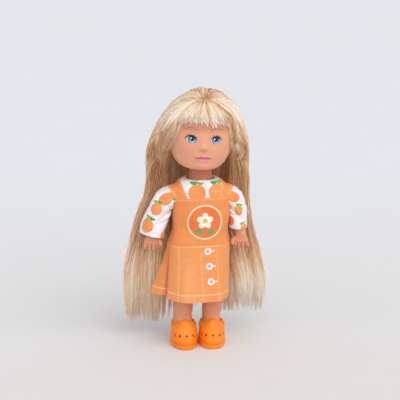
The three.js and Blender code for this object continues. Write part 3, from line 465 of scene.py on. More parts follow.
SKIN = (234, 168, 134)
ORANGE = (243, 153, 86)
WHITE = (245, 239, 243)
LEAF, LEAF_PALE = (84, 158, 84), (126, 186, 92)
vinyl = moulded("skin_vinyl", None, 0.46, 0.012, subsurface=0.16)
hard_skin = moulded("skin_plastic", SKIN, 0.4, 0.01)
rubber = moulded("clog_rubber", (255, 138, 12), 0.42, 0.02, subsurface=0.1)
satin = woven("printed_satin", 0.2, 0.25)
hair_fibre = fibre("hair_fibre")


def tape_material():
    """Touch-and-close tape: off-white, with a dense nap."""
    made, nodes, links, shader = new_material("touch_tape", 0.9, sheen=0.3)
    place = nodes.new("ShaderNodeTexCoord").outputs["Object"]
    base = plain_colour(nodes, (240, 236, 230))
    nap = noise(nodes, links, place, 5200, 4.0)
    links.new(toned(nodes, links, base, nap, 0.8, 1.05), shader.inputs["Base Color"])
    bump(nodes, links, shader, nap, 0.15, 0.9)
    return made


tape_nap = tape_material()


def finish_piece(piece, body, material, slot_name, *nodes):
    """Gives a piece its material and its body and hides the nodes that it stands for; slot_name is not used.
    """
    piece.data.materials.clear()
    piece.data.materials.append(material)
    if body:
        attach(piece, body)
    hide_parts(*nodes)
    return piece


# Head


def face_relief(x, z):
    """Sum of bells over the face: nose, lips, chin and cheeks stand out, the eye rooms lie back."""
    up = z - CHIN_Z
    mouth_x, x = x - MOUTH_SHIFT, x - FACE_SHIFT
    side = np.abs(x)
    from_eye, from_nose, from_mouth = up - EYE_UP, up - NOSE_UP, up - MOUTH_UP
    eyes = -0.5 * bell(side - EYE_OUT, 2.8) * bell(from_eye, 2.4)
    eyes = eyes + 0.3 * bell(side - EYE_OUT, 1.9) * bell(from_eye, 1.4)
    nose = 1.15 * bell(x, 1.25) * bell(from_nose, 1.2) + 0.35 * bell(x, 1.9) * bell(from_nose - 2.2, 2.4)
    wings = 0.25 * bell(side - 1.3, 0.6) * bell(from_nose + 0.5, 0.6)
    nostrils = -0.3 * bell(side - 0.75, 0.4) * bell(from_nose + 1.3, 0.4)
    upper = 0.4 * bell(mouth_x, 3) * bell(from_mouth - 0.7, 0.75)
    lips = upper + 0.5 * bell(mouth_x, 2.5) * bell(from_mouth + 0.9, 0.95)
    parting = -0.2 * bell(mouth_x, 3) * bell(from_mouth - 0.15 * bell(mouth_x, 0.8), 0.28)
    groove = -0.12 * bell(mouth_x, 0.5) * bell(from_mouth - 2.1, 0.9)
    hollow = -0.25 * bell(mouth_x, 2.2) * bell(from_mouth + 2.3, 0.8)
    chin = 0.9 * bell(mouth_x, 3.2) * bell(up - 1.8, 1.9)
    cheeks = 0.7 * bell(side - 8, 3.6) * bell(from_mouth - 2, 3.6)
    return eyes + nose + wings + nostrils + lips + parting + groove + hollow + chin + cheeks


def head_section(level, grow=0.0):
    """Half width, front depth and back depth of the head at a height share from -1 to 1."""
    low = np.maximum(0, -level)
    breadth = np.sqrt(np.maximum(0, 1 - level**2)) ** (0.85 - 0.35 * low**2)
    return (15.3 + grow) * breadth, (14.2 + grow) * breadth, (14.8 + grow) * breadth * (1 - 0.42 * low**1.5)


def tilted(points):
    """The head's lean towards the doll's left, about the top of the neck."""
    c, s = np.cos(HEAD_TILT), np.sin(HEAD_TILT)
    x, z = points[..., 0], points[..., 2] - NECK_TOP_Z
    return np.stack([c * x + s * z + HEAD_SHIFT, points[..., 1], NECK_TOP_Z - s * x + c * z], -1)


def paint_face(x, z):
    """Colours of the head from signed distances in mm: skin, blush, painted shadow under the fringe and under
    the nose, brows, eyes, and lips with a painted highlight.
    """
    up = z - CHIN_Z
    mouth_x, x = x - MOUTH_SHIFT, x - FACE_SHIFT
    side = np.abs(x)
    out = side - EYE_OUT
    tall = up - EYE_UP
    c = plain(SKIN, len(x))
    c = laid_over(c, 0.16 * bell(side - 8, 2.6) * bell(up - 9.4, 2.4), (236, 122, 100))
    # Painted shadow: the forehead darker towards the hairline, under the fringe.
    c = laid_over(c, 0.62 * smooth(up, 16.5, 20), (196, 124, 92))
    # Painted shadow under the nose.
    c = laid_over(c, 0.25 * bell(up - NOSE_UP + 1.5, 0.6) * bell(x, 1.8), (190, 110, 82))
    brow_line = 4.3 + 0.9 * np.cos((side - 5.6) * 0.55)
    brow = inside(0.17 - np.abs(tall - brow_line)) * inside(2.8 - np.abs(side - 5.6), 0.5)
    c = laid_over(c, 0.6 * brow, (150, 84, 52))
    top = 1.65 * np.sqrt(np.maximum(0, 1 - (out / 2.4) ** 2)) + 0.04 * out
    bottom = -1.5 * np.sqrt(np.maximum(0, 1 - (out / 2.35) ** 2)) + 0.04 * out
    crease = inside(0.11 - np.abs(tall - 2.45 + 0.13 * out**2)) * inside(2.1 - np.abs(out), 0.5)
    c = laid_over(c, 0.4 * crease, (170, 104, 76))
    eye = inside(np.minimum(top - tall, tall - bottom)) * inside(2.35 - np.abs(out))
    c = laid_over(c, eye, (204, 208, 220))
    gaze = x - 0.22 - np.sign(x) * (EYE_OUT - 0.08)
    from_iris = np.hypot(gaze, tall - 0.02)
    iris = eye * inside(1.8 - from_iris)
    c = laid_over(c, iris, (92, 140, 180))
    c = laid_over(c, iris * smooth(tall, 0.5, -1.0), (140, 192, 216))
    c = laid_over(c, iris * inside(0.16 - np.abs(from_iris - 1.7)), (50, 84, 134))
    c = laid_over(c, eye * inside(0.95 - np.hypot(gaze, tall - 0.25)), (24, 20, 40))
    c = laid_over(c, iris * 0.9 * smooth(tall, 0.2, 1.3), (30, 28, 52))
    c = laid_over(c, eye * inside(0.34 - np.hypot(gaze + 0.6, tall - 0.5)), (250, 250, 255))
    c = laid_over(c, 0.85 * eye * inside(0.24 - np.hypot(gaze - 0.65, tall + 0.7)), (240, 248, 255))
    lid = inside(0.24 + 0.06 * smooth(out, -1.5, 2) - np.abs(tall - top - 0.06)) * inside(2.55 - np.abs(out))
    c = laid_over(c, lid, (28, 18, 22))
    rim = inside(0.12 - np.abs(tall - bottom + 0.08)) * inside(2.3 - np.abs(out))
    c = laid_over(c, 0.55 * rim, (196, 132, 116))
    for lean, reach in ((-20, 0.5), (5, 0.7), (26, 0.9), (44, 1.0), (62, 1.0), (80, 0.8)):
        a = np.radians(lean)
        dx, dz = out - 2.35 * np.sin(a), tall - 1.72 * np.cos(a) - 0.1
        run = dx * np.sin(a) + dz * np.cos(a)
        off = dx * np.cos(a) - dz * np.sin(a) - 0.12 * run
        stroke = inside(0.13 * (1 - run / 1.5) - np.abs(off), 0.08)
        lash = stroke * inside(reach / 2 - np.abs(run - reach / 2))
        c = laid_over(c, lash, (34, 22, 26))
    from_mouth = up - MOUTH_UP
    to_corner = MOUTH_HALF_WIDTH - np.abs(mouth_x)
    bow = 0.68 + 0.34 * bell(np.abs(mouth_x) - 1.1, 0.75) - 0.045 * mouth_x**2
    dip = -1.6 + 0.105 * mouth_x**2
    lips = inside(np.minimum(bow - from_mouth, from_mouth - dip) * 0.9) * inside(to_corner)
    c = laid_over(c, 0.9 * lips, (226, 104, 132))
    c = laid_over(c, 0.85 * lips * smooth(from_mouth, 0.0, -0.5), (240, 138, 162))
    # Painted highlight on the lower lip.
    c = laid_over(c, 0.6 * lips * smooth(from_mouth, -0.3, -0.9) * bell(mouth_x + 0.3, 1.7), (252, 186, 200))
    line = 0.12 * bell(mouth_x, 0.9) + 0.012 * mouth_x**2
    c = laid_over(c, 0.8 * inside(0.16 - np.abs(from_mouth - line)) * inside(to_corner, 0.4), (170, 52, 96))
    return c


def build_head():
    """The skull is an oval of breadth sqrt(1 - level squared), fuller at the jaw, with relief in front."""
    level = np.sin(gathered(-np.pi / 2, np.pi / 2, 262, -0.3, 0.5, 5.0)[1:-1, None])
    turn = gathered(-np.pi, np.pi, 371, 0.0, 0.65, 7.0)[None, :-1]
    width, front, back = head_section(level)
    facing = np.cos(turn)
    x = width * np.sin(turn)
    z = HEAD_MID_Z + HEAD_HEIGHT / 2 * level + 0 * turn
    low = np.maximum(0, -level)
    y = -np.where(facing > 0, front, back) * facing - 2.6 * low**2 * smooth(facing, -1, 1)
    y = y - np.where(facing > 0, face_relief(x, z) * smooth(facing, 0.1, 0.5), 0)
    rings = tilted(np.stack([x, y, z], -1))
    points, quads, triangles = tube(rings)
    head = mesh_object("head_moulding", points, quads, triangles)
    flat_x = np.append(x.ravel(), [0, 0])
    flat_z = np.append(z.ravel(), [CHIN_Z, CROWN_Z])
    flat_y = np.append(y.ravel(), [0, 0])
    c = plain(SKIN, len(flat_x))
    front_side = flat_y < -1.0
    c[front_side] = paint_face(flat_x[front_side], flat_z[front_side])
    hairline = CHIN_Z + 24 - 12 * smooth(flat_y, -11, 2) - 7 * smooth(flat_y, 6, 13)
    c = laid_over(c, inside(flat_z - hairline, 0.8), (176, 138, 98))
    painted(head, c)
    finish_piece(head, "head", vinyl, "vinyl_skin", "head")


def build_neck():
    """A turned column with two soft creases, its flange inside the torso and its knob in the head."""
    top = NECK_TOP_Z
    profile = np.array([
        [4.6, TORSO_TOP_Z - 7], [4.6, TORSO_TOP_Z - 5.6], [3.5, TORSO_TOP_Z - 5.4], [3.5, TORSO_TOP_Z + 0.2],
        [5.7, TORSO_TOP_Z + 0.4], [5.35, TORSO_TOP_Z + 2.0], [5.15, TORSO_TOP_Z + 4.2], [5.05, top - 0.6],
        [4.4, top], [3.5, top + 0.1], [3.5, top + 2.5], [5.0, top + 2.7], [4.6, top + 4.0], [2.6, top + 5.2],
    ])
    line = spline(profile, 90)
    turn = full_turn(64)
    radius = line[:, :1] - 0.1 * bell(line[:, 1:] - top + 2.6, 0.35)
    rings = np.stack([radius * np.cos(turn), radius * np.sin(turn), line[:, 1:] + 0 * turn], -1)
    neck = mesh_object("neck_moulding", *tube(rings))
    # Painted shade: the neck's skin colour is darker than the head's, standing in for the shade under the
    # chin.
    painted(neck, plain((192, 116, 86), len(neck.data.vertices)))
    finish_piece(neck, "torso", vinyl, "hard_skin", "neck_knob")


# Arms and legs

FINGER_PITCH = 1.78


def skin_colours(piece, shaded_below, tips=(), creases=(), below=0.0):
    """Even skin with painted shade below a height, warmer near the given points, and painted shade along the
    creases between the fingers.
    """
    p = points_of(piece)
    c = plain(SKIN, len(p))
    # Painted shade: the skin darker below the given height.
    c = laid_over(c, 0.6 * smooth(p[:, 2], shaded_below + 2, shaded_below - 1), (208, 134, 100))
    for place, spread in tips:
        c = laid_over(c, 0.35 * bell(np.linalg.norm(p - place, axis=1), spread), (232, 128, 100))
    # Painted shade in the gaps between the fingers.
    for x in creases:
        crease = 0.6 * bell(p[:, 0] - x, 0.26) * smooth(p[:, 2], below + 0.5, below - 0.3)
        c = laid_over(c, crease, (176, 92, 66))
    painted(piece, c)


def build_arm(name, side):
    """A shoulder dome and a stud turned about X, a tapering column, a flat palm and five finger columns."""
    wrist_low, wrist_high = node_box(f"arm_{name}")
    wrist_z = wrist_low[2] + 5.5
    hand_x = abs(wrist_high[0] if side > 0 else wrist_low[0]) - 3.6
    along = lambda share: side * (ARM_X + share * (hand_x - ARM_X))
    stud = [[-5.4, 0.01], [-5.4, 3], [-4, 3], [-4, 1.8], [0, 1.8], [0, 4.1]]
    stud += [[1.6 + 2.6 * np.sin(a), 4.1 * np.cos(a)] for a in np.linspace(0, 1.5, 8)]
    bodies = [turned(np.array(stud) + [TORSO_HALF_WIDTH, 0], side, SHOULDER_Z, 40)]
    bodies.append(tube(column([
        [side * (ARM_X - 1.0), 0, SHOULDER_Z - 0.6, 2.2, 2.8],
        [along(0.12), -0.2, SHOULDER_Z - 5.2, 2.6, 2.7],
        [along(0.44), -0.8, SHOULDER_Z - 11.2, 2.6, 2.6],
        [along(0.76), -1.6, wrist_z + 2.5, 2.5, 2.3],
        [along(1), -2.2, wrist_z, 2.3, 2.0],
        [along(1), -2.6, wrist_z - 1.9, 3.2, 1.55],
        [along(1), -2.9, wrist_z - 3.5, 3.4, 1.4],
        [along(1), -3.0, wrist_z - 4.2, 2.9, 0.9],
    ], 44, 36)))
    tips = []
    for k in range(4):
        x = side * (hand_x + (k - 1.5) * FINGER_PITCH)
        end = wrist_z - 6.9 + 0.6 * abs(k - 1.3)
        bodies.append(tube(column([
            [x, -2.9, wrist_z - 2.8, 0.86, 0.9],
            [x, -3.3, wrist_z - 4.3, 0.86, 0.9],
            [x, -3.3, end + 0.8, 0.74, 0.8],
            [x, -3.0, end, 0.25, 0.25],
        ], 18, 14)))
        tips.append((np.array([x, -4.1, wrist_z - 3.6]), 0.7))
    thumb = side * (hand_x - 3.9)
    bodies.append(tube(column([
        [side * (hand_x - 2.4), -2.9, wrist_z - 0.9, 1.1, 1.05],
        [thumb + side * 0.1, -3.5, wrist_z - 2.4, 0.95, 0.95],
        [thumb - side * 0.1, -4.0, wrist_z - 4.1, 0.85, 0.88],
        [thumb, -4.0, wrist_z - 4.9, 0.2, 0.2],
    ], 18, 14)))
    arm = fused(joined(f"arm_{name}_moulding", bodies), 0.17, 3)
    # Where painted shade lines run between the fingers and beside the thumb.
    creases = [side * (hand_x + (k - 1) * FINGER_PITCH) for k in range(3)] + [side * (hand_x - 2.9)]
    skin_colours(arm, wrist_z, tips, creases, wrist_z - 3.3)
    finish_piece(arm, f"arm_{name}", vinyl, "vinyl_skin", f"arm_{name}")


# The clog's form. The upper runs from the toe band to the tongue, in shares of height, length and
# half width.

TOE_OUT = {"left": -5.0, "right": -1.0}
FOOT_X = {1: LEG_X - 0.9, -1: -LEG_X}
ANKLE_X = {1: LEG_X - 1.2, -1: -LEG_X - 0.4}
CLOG_FRONT = -node_box("clog_left")[0][1] + 0.05
CLOG_BACK = 6.4
CLOG_HALF_WIDTH = 6.5
CLOG_TOP = node_box("clog_left")[1][2]
CLOG_WALL = 1.2
ANKLE_RADIUS = 4.2
SHOE_POWER = 0.85
MOUTH_SLOPE = np.tan(np.radians(32))
VENT_SWINGS = np.radians([-66, -33, 0, 33, 66])  # from the middle of the toe
VENT_RADIUS = 0.6
STRAP_SWING = np.radians(106)
STRAP_HALF_HEIGHT = 1.6
STRAP_THICKNESS = 0.8
STRAP_RADIUS = ANKLE_RADIUS + 0.42
STRAP_Z = 0.8 * CLOG_TOP - 1.5
UPPER_LINE = [
    [0.46, 0.91, 0.96], [0.58, 0.84, 0.94], [0.7, 0.75, 0.88], [0.8, 0.67, 0.74], [0.9, 0.6, 0.56],
    [0.96, 0.55, 0.42], [1, 0.5, 0.24],
]


def shoe_rings(side, levels, count, sides):
    """Level rings of a shoe: a flattened sine across, longer in front than behind, turned by the toe-out."""
    line = spline(levels, count)[:, :, None]
    angle = full_turn(sides)
    c, s = np.cos(angle), np.sin(angle)
    y = -np.where(c > 0, line[:, 1], line[:, 2]) * c
    narrow = 1 - 0.2 * smooth(y, -0.35 * CLOG_FRONT, CLOG_BACK)
    x = np.sign(s) * np.abs(s) ** SHOE_POWER * line[:, 3] * narrow
    rings = np.stack([x, y, line[:, 0] + 0 * x], -1)
    return on_foot(side, rings)


def on_foot(side, points):
    """Turns points by the foot's toe-out and sets them under the leg."""
    turn = np.radians(TOE_OUT["left"] if side > 0 else -TOE_OUT["right"])
    c, s = np.cos(turn), np.sin(turn)
    x, y, z = points[..., 0], points[..., 1], points[..., 2]
    return np.stack([c * x - s * y + FOOT_X[side], s * x + c * y, z], -1)


def foot_levels(grow):
    f, b, w, h = CLOG_FRONT - CLOG_WALL, CLOG_BACK - CLOG_WALL, CLOG_HALF_WIDTH - CLOG_WALL, CLOG_TOP
    levels = [[1.7 - grow, 0.94 * f, 0.9 * b, 0.93 * w], [2.9, f - 0.3, b - 0.1, w - 0.3]]
    for z, length, half in UPPER_LINE[:4]:
        across = max(ANKLE_RADIUS, half * CLOG_HALF_WIDTH - CLOG_WALL)
        levels.append([z * h - 0.5 * CLOG_WALL, length * CLOG_FRONT - CLOG_WALL, b - 0.3, across])
    levels.append([h + 0.6, ANKLE_RADIUS, ANKLE_RADIUS, ANKLE_RADIUS])
    return [[z, x + grow, y + grow, v + grow] for z, x, y, v in levels]


def build_leg(name, side):
    """A hip drum turned about X, a soft column with knee and calf, and a foot, grown into one skin."""
    inner, outer = 2.05, 2 * LEG_X - 2.05
    drum = [[inner, 0.01], [inner, 5.6]]
    drum += [[outer - 3.2 + 3.2 * np.sin(a), 2.4 + 3.2 * np.cos(a)] for a in np.linspace(0, 1.55, 8)]
    shank = column([
        [side * LEG_X, 0, HIP_Z, 5.0, 5.1],
        [side * LEG_X, 0, 0.84 * HIP_Z, 5.1, 5.2],
        [side * LEG_X, 0, 0.6 * HIP_Z, 4.95, 4.95],
        [0.6 * side * LEG_X + 0.4 * ANKLE_X[side], 0, 0.46 * HIP_Z, 4.8, 4.9],
        [0.3 * side * LEG_X + 0.7 * ANKLE_X[side], 0.1, 0.36 * HIP_Z, 4.6, 4.6],
        [ANKLE_X[side], 0, CLOG_TOP + 0.6, 4.2, 4.2],
        [ANKLE_X[side], 0, 0.4 * CLOG_TOP, 4.2, 4.2],
    ], 80, 60)
    p, q, t = tube(shank)
    out = np.abs(p[:, 0] - side * LEG_X)
    knee = bell(p[:, 2] - 0.5 * HIP_Z, 2.4) * bell(out, 2.6)
    dimples = bell(p[:, 2] - 0.47 * HIP_Z, 1.2) * bell(out - 2.4, 0.9)
    p[:, 1] += (0.22 * dimples - 0.35 * knee) * (p[:, 1] < 0)
    foot = tube(shoe_rings(side, foot_levels(0), 40, 60))
    leg = fused(joined(f"leg_{name}_moulding", [turned(drum, side, HIP_Z, 50), (p, q, t), foot]), 0.28, 4)
    skin_colours(leg, HEM_Z - 1, [(np.array([side * LEG_X, -4.9, 0.48 * HIP_Z]), 2.2)])
    finish_piece(leg, f"leg_{name}", vinyl, "vinyl_skin", f"leg_{name}")


def vent_hole(side, swing):
    """A round rod through the upper, leaning up and out at that turn from the toe."""
    sine, cosine = np.sin(swing), np.cos(swing)
    place = np.array([0.8 * CLOG_HALF_WIDTH * sine, -(0.4 + 0.43 * cosine) * CLOG_FRONT, 0.46 * CLOG_TOP])
    out = np.array([0.7 * sine, -0.7 * cosine, 0.7])
    across = np.cross(out, [0, 0, 1])
    across /= np.linalg.norm(across)
    angle = full_turn(20)[:, None]
    circle = VENT_RADIUS * (np.cos(angle) * across + np.sin(angle) * np.cross(across, out))
    return on_foot(side, np.stack([place + out * t + circle for t in (-1.6, 3.6)]))


def heel_strap(side):
    """A crowned band round the back of the ankle, from one side of the upper to the other."""
    angle = np.linspace(-STRAP_SWING, STRAP_SWING, 90)[None, :]
    height = np.linspace(-STRAP_HALF_HEIGHT, STRAP_HALF_HEIGHT, 14)[:, None]
    bulge = 0.25 * (1 - (height / STRAP_HALF_HEIGHT) ** 2)

    def at(radius):
        x, y = radius * np.sin(angle), radius * np.cos(angle) + 0.1
        return on_foot(side, np.stack([x, y, STRAP_Z + height + 0 * angle], -1))

    return sheet(at(STRAP_RADIUS + STRAP_THICKNESS + bulge), at(STRAP_RADIUS + 0 * bulge))


def build_clog(name, side):
    """Shoe rings with a grooved sole rim and a raised toe band, hollowed by the foot, pierced by vents."""
    f, b, w, h = CLOG_FRONT, CLOG_BACK, CLOG_HALF_WIDTH, CLOG_TOP
    levels = [
        [0, f - 0.7, b - 0.7, w - 0.7], [0.12, f - 0.25, b - 0.25, w - 0.25], [0.5, f, b, w],
        [1.9, f, b, w], [2.1, f - 0.1, b - 0.1, w - 0.1], [2.3, f - 0.55, b - 0.5, w - 0.5],
        [2.5, f - 0.5, b - 0.45, w - 0.45], [2.65, f - 0.2, b - 0.3, w - 0.15],
        [0.33 * h, f - 0.35, b - 0.3, w - 0.15], [0.37 * h, f - 0.55, b - 0.3, w - 0.25],
        [0.4 * h, f - 1.05, b - 0.35, w - 0.4],
    ]
    levels += [[z * h, length * f, b - 0.5, half * w] for z, length, half in UPPER_LINE]
    clog = mesh_object(f"clog_{name}_moulding", *tube(shoe_rings(side, levels, 120, 150)))
    tools = [mesh_object("foot_room", *tube(shoe_rings(side, foot_levels(0.25), 24, 48)))]
    leg_room = column([[ANKLE_X[side], 0, 0.4 * h, 4.45, 4.45], [ANKLE_X[side], 0, h + 4, 4.55, 4.6]], 3, 48)
    tools.append(mesh_object("leg_room", *tube(leg_room)))
    square = np.array([[-1, -1], [1, -1], [1, 1], [-1, 1]])
    floor_of_back = square * [2 * w, 2 * b] + [0, 2 * b + 0.4]
    back = np.stack([np.column_stack([floor_of_back, np.full(4, z)]) for z in (0.32 * h, 0.32 * h + 20)])
    tools.append(mesh_object("heel_room", *tube(on_foot(side, back))))
    floor_of_mouth = square * [2 * w, 2 * h]
    lift = 0.78 * h - MOUTH_SLOPE * floor_of_mouth[:, 1]
    mouth = np.stack([np.column_stack([floor_of_mouth, lift + more]) for more in (0, 20)])
    tools.append(mesh_object("mouth_room", *tube(on_foot(side, mouth))))
    tools += [mesh_object("vent", *tube(vent_hole(side, swing))) for swing in VENT_SWINGS]
    combine(clog, "DIFFERENCE", *tools)
    combine(clog, "UNION", mesh_object("strap", *heel_strap(side)))
    for end in (-1, 1):
        pivot = on_foot(side, np.array([end * (STRAP_RADIUS + 0.85), -1.0, STRAP_Z]))
        combine(clog, "UNION", mesh_object("rivet", *dome(pivot, [0.6, 1.3, 1.3])))
    clog.data.shade_smooth()
    clog.data.set_sharp_from_angle(angle=np.radians(48))
    finish_piece(clog, f"leg_{name}", rubber, "orange_rubber", f"clog_{name}")


# Dress prints


def stitched(c, off, along, width=0.2, period=1.5):
    """A dashed line of cream thread where the distance off it is small."""
    dash = inside(0.62 * period / 2 - np.abs(np.mod(along, period) - period / 2), 0.15)
    return laid_over(c, 0.65 * inside(width - np.abs(off), 0.12) * dash, (255, 224, 160))


def fruit(c, x, z, centre, radius, lean=0.0):
    """A plain orange disc, paler towards one side, with two small leaves over it."""
    cl, sl = np.cos(lean), np.sin(lean)
    dx, dz = x - centre[0], z - centre[1]
    dx, dz = cl * dx + sl * dz, cl * dz - sl * dx
    disc = inside(radius - np.hypot(dx, 1.04 * dz))
    c = laid_over(c, disc, (243, 148, 78))
    shine = smooth(np.hypot(dx + 0.3 * radius, dz - 0.3 * radius), radius, 0)
    c = laid_over(c, 0.5 * disc * shine, (252, 178, 112))
    for tip in (-1, 1):
        u = (dx - tip * 0.36 * radius) / (0.44 * radius)
        v = (dz - 1.08 * radius - 0.12 * radius * np.abs(u)) / (0.2 * radius)
        c = laid_over(c, inside((1 - np.hypot(u, v)) * 0.2 * radius), LEAF if tip < 0 else LEAF_PALE)
    return c


def roundel(c, x, z, centre, radius):
    """A pale ring round an orange disc with a white five-petalled blossom and two leaves."""
    dx, dz = x - centre[0], z - centre[1]
    r = np.hypot(dx, dz)
    c = laid_over(c, inside(radius - r), (255, 236, 214))
    disc = inside(radius - 0.6 - r)
    c = laid_over(c, disc, (240, 122, 52))
    c = laid_over(c, 0.35 * disc * smooth(np.hypot(dx + 2.4, dz - 2.6), 5.0, 0), (255, 160, 90))
    for tip in (-1, 1):
        u, v = tip * dx - 2.6, dz + 4.4
        along, off = 0.9 * u + 0.44 * v, 0.9 * v - 0.44 * u
        leaf = inside((1 - np.hypot(along / 2.0, off / 0.95)) * 0.9)
        c = laid_over(c, leaf, (92, 168, 96))
        c = laid_over(c, 0.5 * leaf * inside(0.12 - np.abs(off)), (150, 206, 140))
    angle = np.arctan2(dz - 0.6, dx)
    petals = 2.3 + 1.5 * np.abs(np.cos(2.5 * (angle - np.pi / 2)))
    c = laid_over(c, inside(petals - np.hypot(dx, dz - 0.6)), (255, 247, 238))
    c = laid_over(c, inside(1.15 - np.hypot(dx, dz - 0.6)), (250, 190, 70))
    return c


def bodice_print(p):
    """White yoke with fruit, straps and bib in orange, cream stitches, and the roundel on the bib."""
    x, z = p[:, 0], p[:, 2]
    up = z - WAIST_Z
    c = plain(ORANGE, len(x))
    c = laid_over(c, 0.7 * inside(BIB_UP - up, 0.5), (240, 144, 76))
    bib_top = BIB_UP + 0.04 * x
    strap_inner = np.where(x < 0, 6.6, 7.6) + np.where(x < 0, 0.42, 0.2) * (up - BIB_UP)
    yoke = inside(np.minimum(up - bib_top, strap_inner - np.abs(x)))
    front = p[:, 1] < 0
    white = plain(WHITE, len(x))
    for centre, radius in (((-2.4, 72.3), 4.0), ((6.6, 72.6), 3.8)):
        white = fruit(white, x, z, centre, radius)
    c = c + (white - c) * (yoke * front)[:, None]
    back_yoke = inside(np.minimum(up - 22.5, 7.5 - np.abs(x))) * ~front
    c = laid_over(c, back_yoke, WHITE)
    c = roundel(c, x, z + 1e3 * ~front, (1.2, 59.1), 8.0)
    c = stitched(c, up - bib_top + 0.7, x)
    on_strap = 1e3 * (up < bib_top)
    edge = np.abs(x) - strap_inner
    c = stitched(c, edge - 0.55 + on_strap, z)
    c = stitched(c, edge - 4.3 - 0.2 * (up - BIB_UP) + on_strap, z)
    return c


def skirt_print(across, drop, front, shade):
    """Orange with a painted pool of light down the front, painted shade in the pleat's valley, cream stitched
    seams, a stitched hem and three ringed buttons with their loops.
    """
    c = plain(ORANGE, len(across))
    length = WAIST_Z - HEM_Z
    down = drop * length
    # Painted light: a paler patch down the front of the skirt.
    c = laid_over(c, 0.4 * bell(across + 4.5, 4.5) * front * smooth(drop, 0, 0.5), (250, 178, 116))
    c = laid_over(c, 0.8 * shade, (206, 84, 38))
    c = stitched(c, down - 0.8 + 0.03 * across, across)
    for start, lean in ((-10.0, 0.4), (-0.5, 2.6), (6.8, 2.5)):
        c = stitched(c, across - start - lean * drop + 100 * ~front, down)
    solid_stitch = inside(0.2 - np.abs(down - length + 3.4), 0.12)
    c = laid_over(c, 0.8 * solid_stitch, (255, 226, 164))
    for at, fall in ((3.0, 2.9), (4.0, 9.8), (5.0, 17.0)):
        r = np.hypot(across - at, down - fall) + 100 * ~front
        loop = np.minimum(0.26 - np.abs(down - fall), np.minimum(across - at, at + 3.0 - across))
        c = laid_over(c, inside(loop) * front, (252, 238, 232))
        c = laid_over(c, inside(1.55 - r), (253, 246, 244))
        c = laid_over(c, inside(0.86 - r), (190, 178, 196))
    return c


# Dress shapes


def torso_section(z, grow):
    """Half width and half depth of the torso at a height, from a smooth line through ten stations."""
    w, d = TORSO_HALF_WIDTH, TORSO_HALF_DEPTH
    length = SHOULDER_Z - HIP_Z
    rise = TORSO_TOP_Z - SHOULDER_Z
    stations = [
        [HIP_Z, w, 0.86 * d], [HIP_Z + 0.18 * length, w, d], [HIP_Z + 0.4 * length, 0.93 * w, 0.94 * d],
        [HIP_Z + 0.72 * length, 0.98 * w, d], [SHOULDER_Z, w, 0.93 * d],
        [SHOULDER_Z + 0.55 * rise, 0.92 * w, 0.84 * d],
        [TORSO_TOP_Z - 0.12 * rise + grow, 0.68 * w, 0.74 * d], [TORSO_TOP_Z + grow, 0.52 * w, 0.68 * d],
    ]
    line = spline(stations, 400)
    return np.interp(z, line[:, 0], line[:, 1] + grow), np.interp(z, line[:, 0], line[:, 2] + grow)


BACK_EASE = 1.6
TAPE_HALF_WIDTH = 3.2


def across_to_depth(share):
    """The other coordinate on a unit section of the torso's superellipse."""
    return (1 - np.abs(share) ** TORSO_POWER) ** (1 / TORSO_POWER)


def back_ease(x, y):
    """How far the cloth stands off over the tapes of the back opening."""
    return np.where(y > 0, BACK_EASE * (1 - smooth(np.abs(x), TAPE_HALF_WIDTH, 12.6)), 0)


def bodice_rings(grow, rows, sides, low, high):
    """Level superellipse rings round the torso, eased at the back over the tapes, with small pulls."""
    z = np.linspace(low, high, rows)[:, None]
    width, depth = torso_section(z, grow)
    turn = full_turn(sides)
    c, s = oval(turn, TORSO_POWER)
    pull = 0.16 * np.cos(5 * turn + 0.35 * z) * smooth(z, high - 6, low) + 0.12 * np.cos(3 * turn - 0.5 * z)
    flare = smooth(z, WAIST_Z + 9, WAIST_Z)
    x = c * (width + pull + 0.7 * flare) + 0.5 * bell(z - 62, 10) - 0.3 * flare
    y = s * (depth + pull)
    return np.stack([x, y + back_ease(x, y), z + 0 * x], -1)


def box_body(low, high):
    (x0, y0, z0), (x1, y1, z1) = low, high
    ring = lambda z: [[x0, y0, z], [x1, y0, z], [x1, y1, z], [x0, y1, z]]
    return tube(np.array([ring(z0), ring(z1)], float))


def round_body(start, axis, radius, length, sides=72):
    """A cylinder from a point along X or Z."""
    turn = full_turn(sides)
    a, b = radius * np.cos(turn), radius * np.sin(turn)
    flat = np.stack([a, b, 0 * a], -1) if axis == 2 else np.stack([0 * a, a, b], -1)
    step = np.array([length, 0, 0]) if axis == 0 else np.array([0, 0, length])
    return tube(np.stack([start + flat, start + flat + step]))


def weave_round(piece):
    """Cloth coordinates in mm: round the body about Z, and up."""
    p = points_of(piece)
    put(piece, "weave", np.column_stack([12 * np.arctan2(p[:, 0], -p[:, 1]), p[:, 2], 0 * p[:, 2]]))
    return p


def build_bodice():
    """Shell between two torso forms, cut by the armholes and the neckline and split at its openings."""
    top = TORSO_TOP_Z + 0.9
    far = 90.0
    pieces = []
    halves = {
        "bodice_front": ([-far, -far, 0], [far, 0, far + 30]),
        "bodice_back_left": ([0.05, 0, 0], [far, far, far + 30]),
        "bodice_back_right": ([-far, 0, 0], [-0.05, far, far + 30]),
    }
    for name, (low, high) in halves.items():
        shell = mesh_object(f"{name}_cloth", *tube(bodice_rings(CLOTH_OUT, 130, 300, WAIST_Z - 0.1, top)))
        inner = bodice_rings(CLOTH_IN, 60, 150, WAIST_Z - 2, TORSO_TOP_Z + 0.5)
        hollow = mesh_object("hollow", *tube(inner))
        arms = mesh_object("arms", *round_body(np.array([-far, 0, SHOULDER_Z]), 0, ARMHOLE_RADIUS, 2 * far))
        neck = mesh_object("neck", *round_body(np.array([0, 0, WAIST_Z]), 2, NECKLINE_RADIUS, 60))
        combine(shell, "DIFFERENCE", hollow, arms, neck)
        combine(shell, "INTERSECT", mesh_object("half", *box_body(low, high)))
        shell.data.shade_smooth()
        shell.data.set_sharp_from_angle(angle=np.radians(50))
        p = weave_round(shell)
        painted(shell, bodice_print(p))
        pieces.append(finish_piece(shell, "torso", satin, "orange_cloth", name))
    return pieces


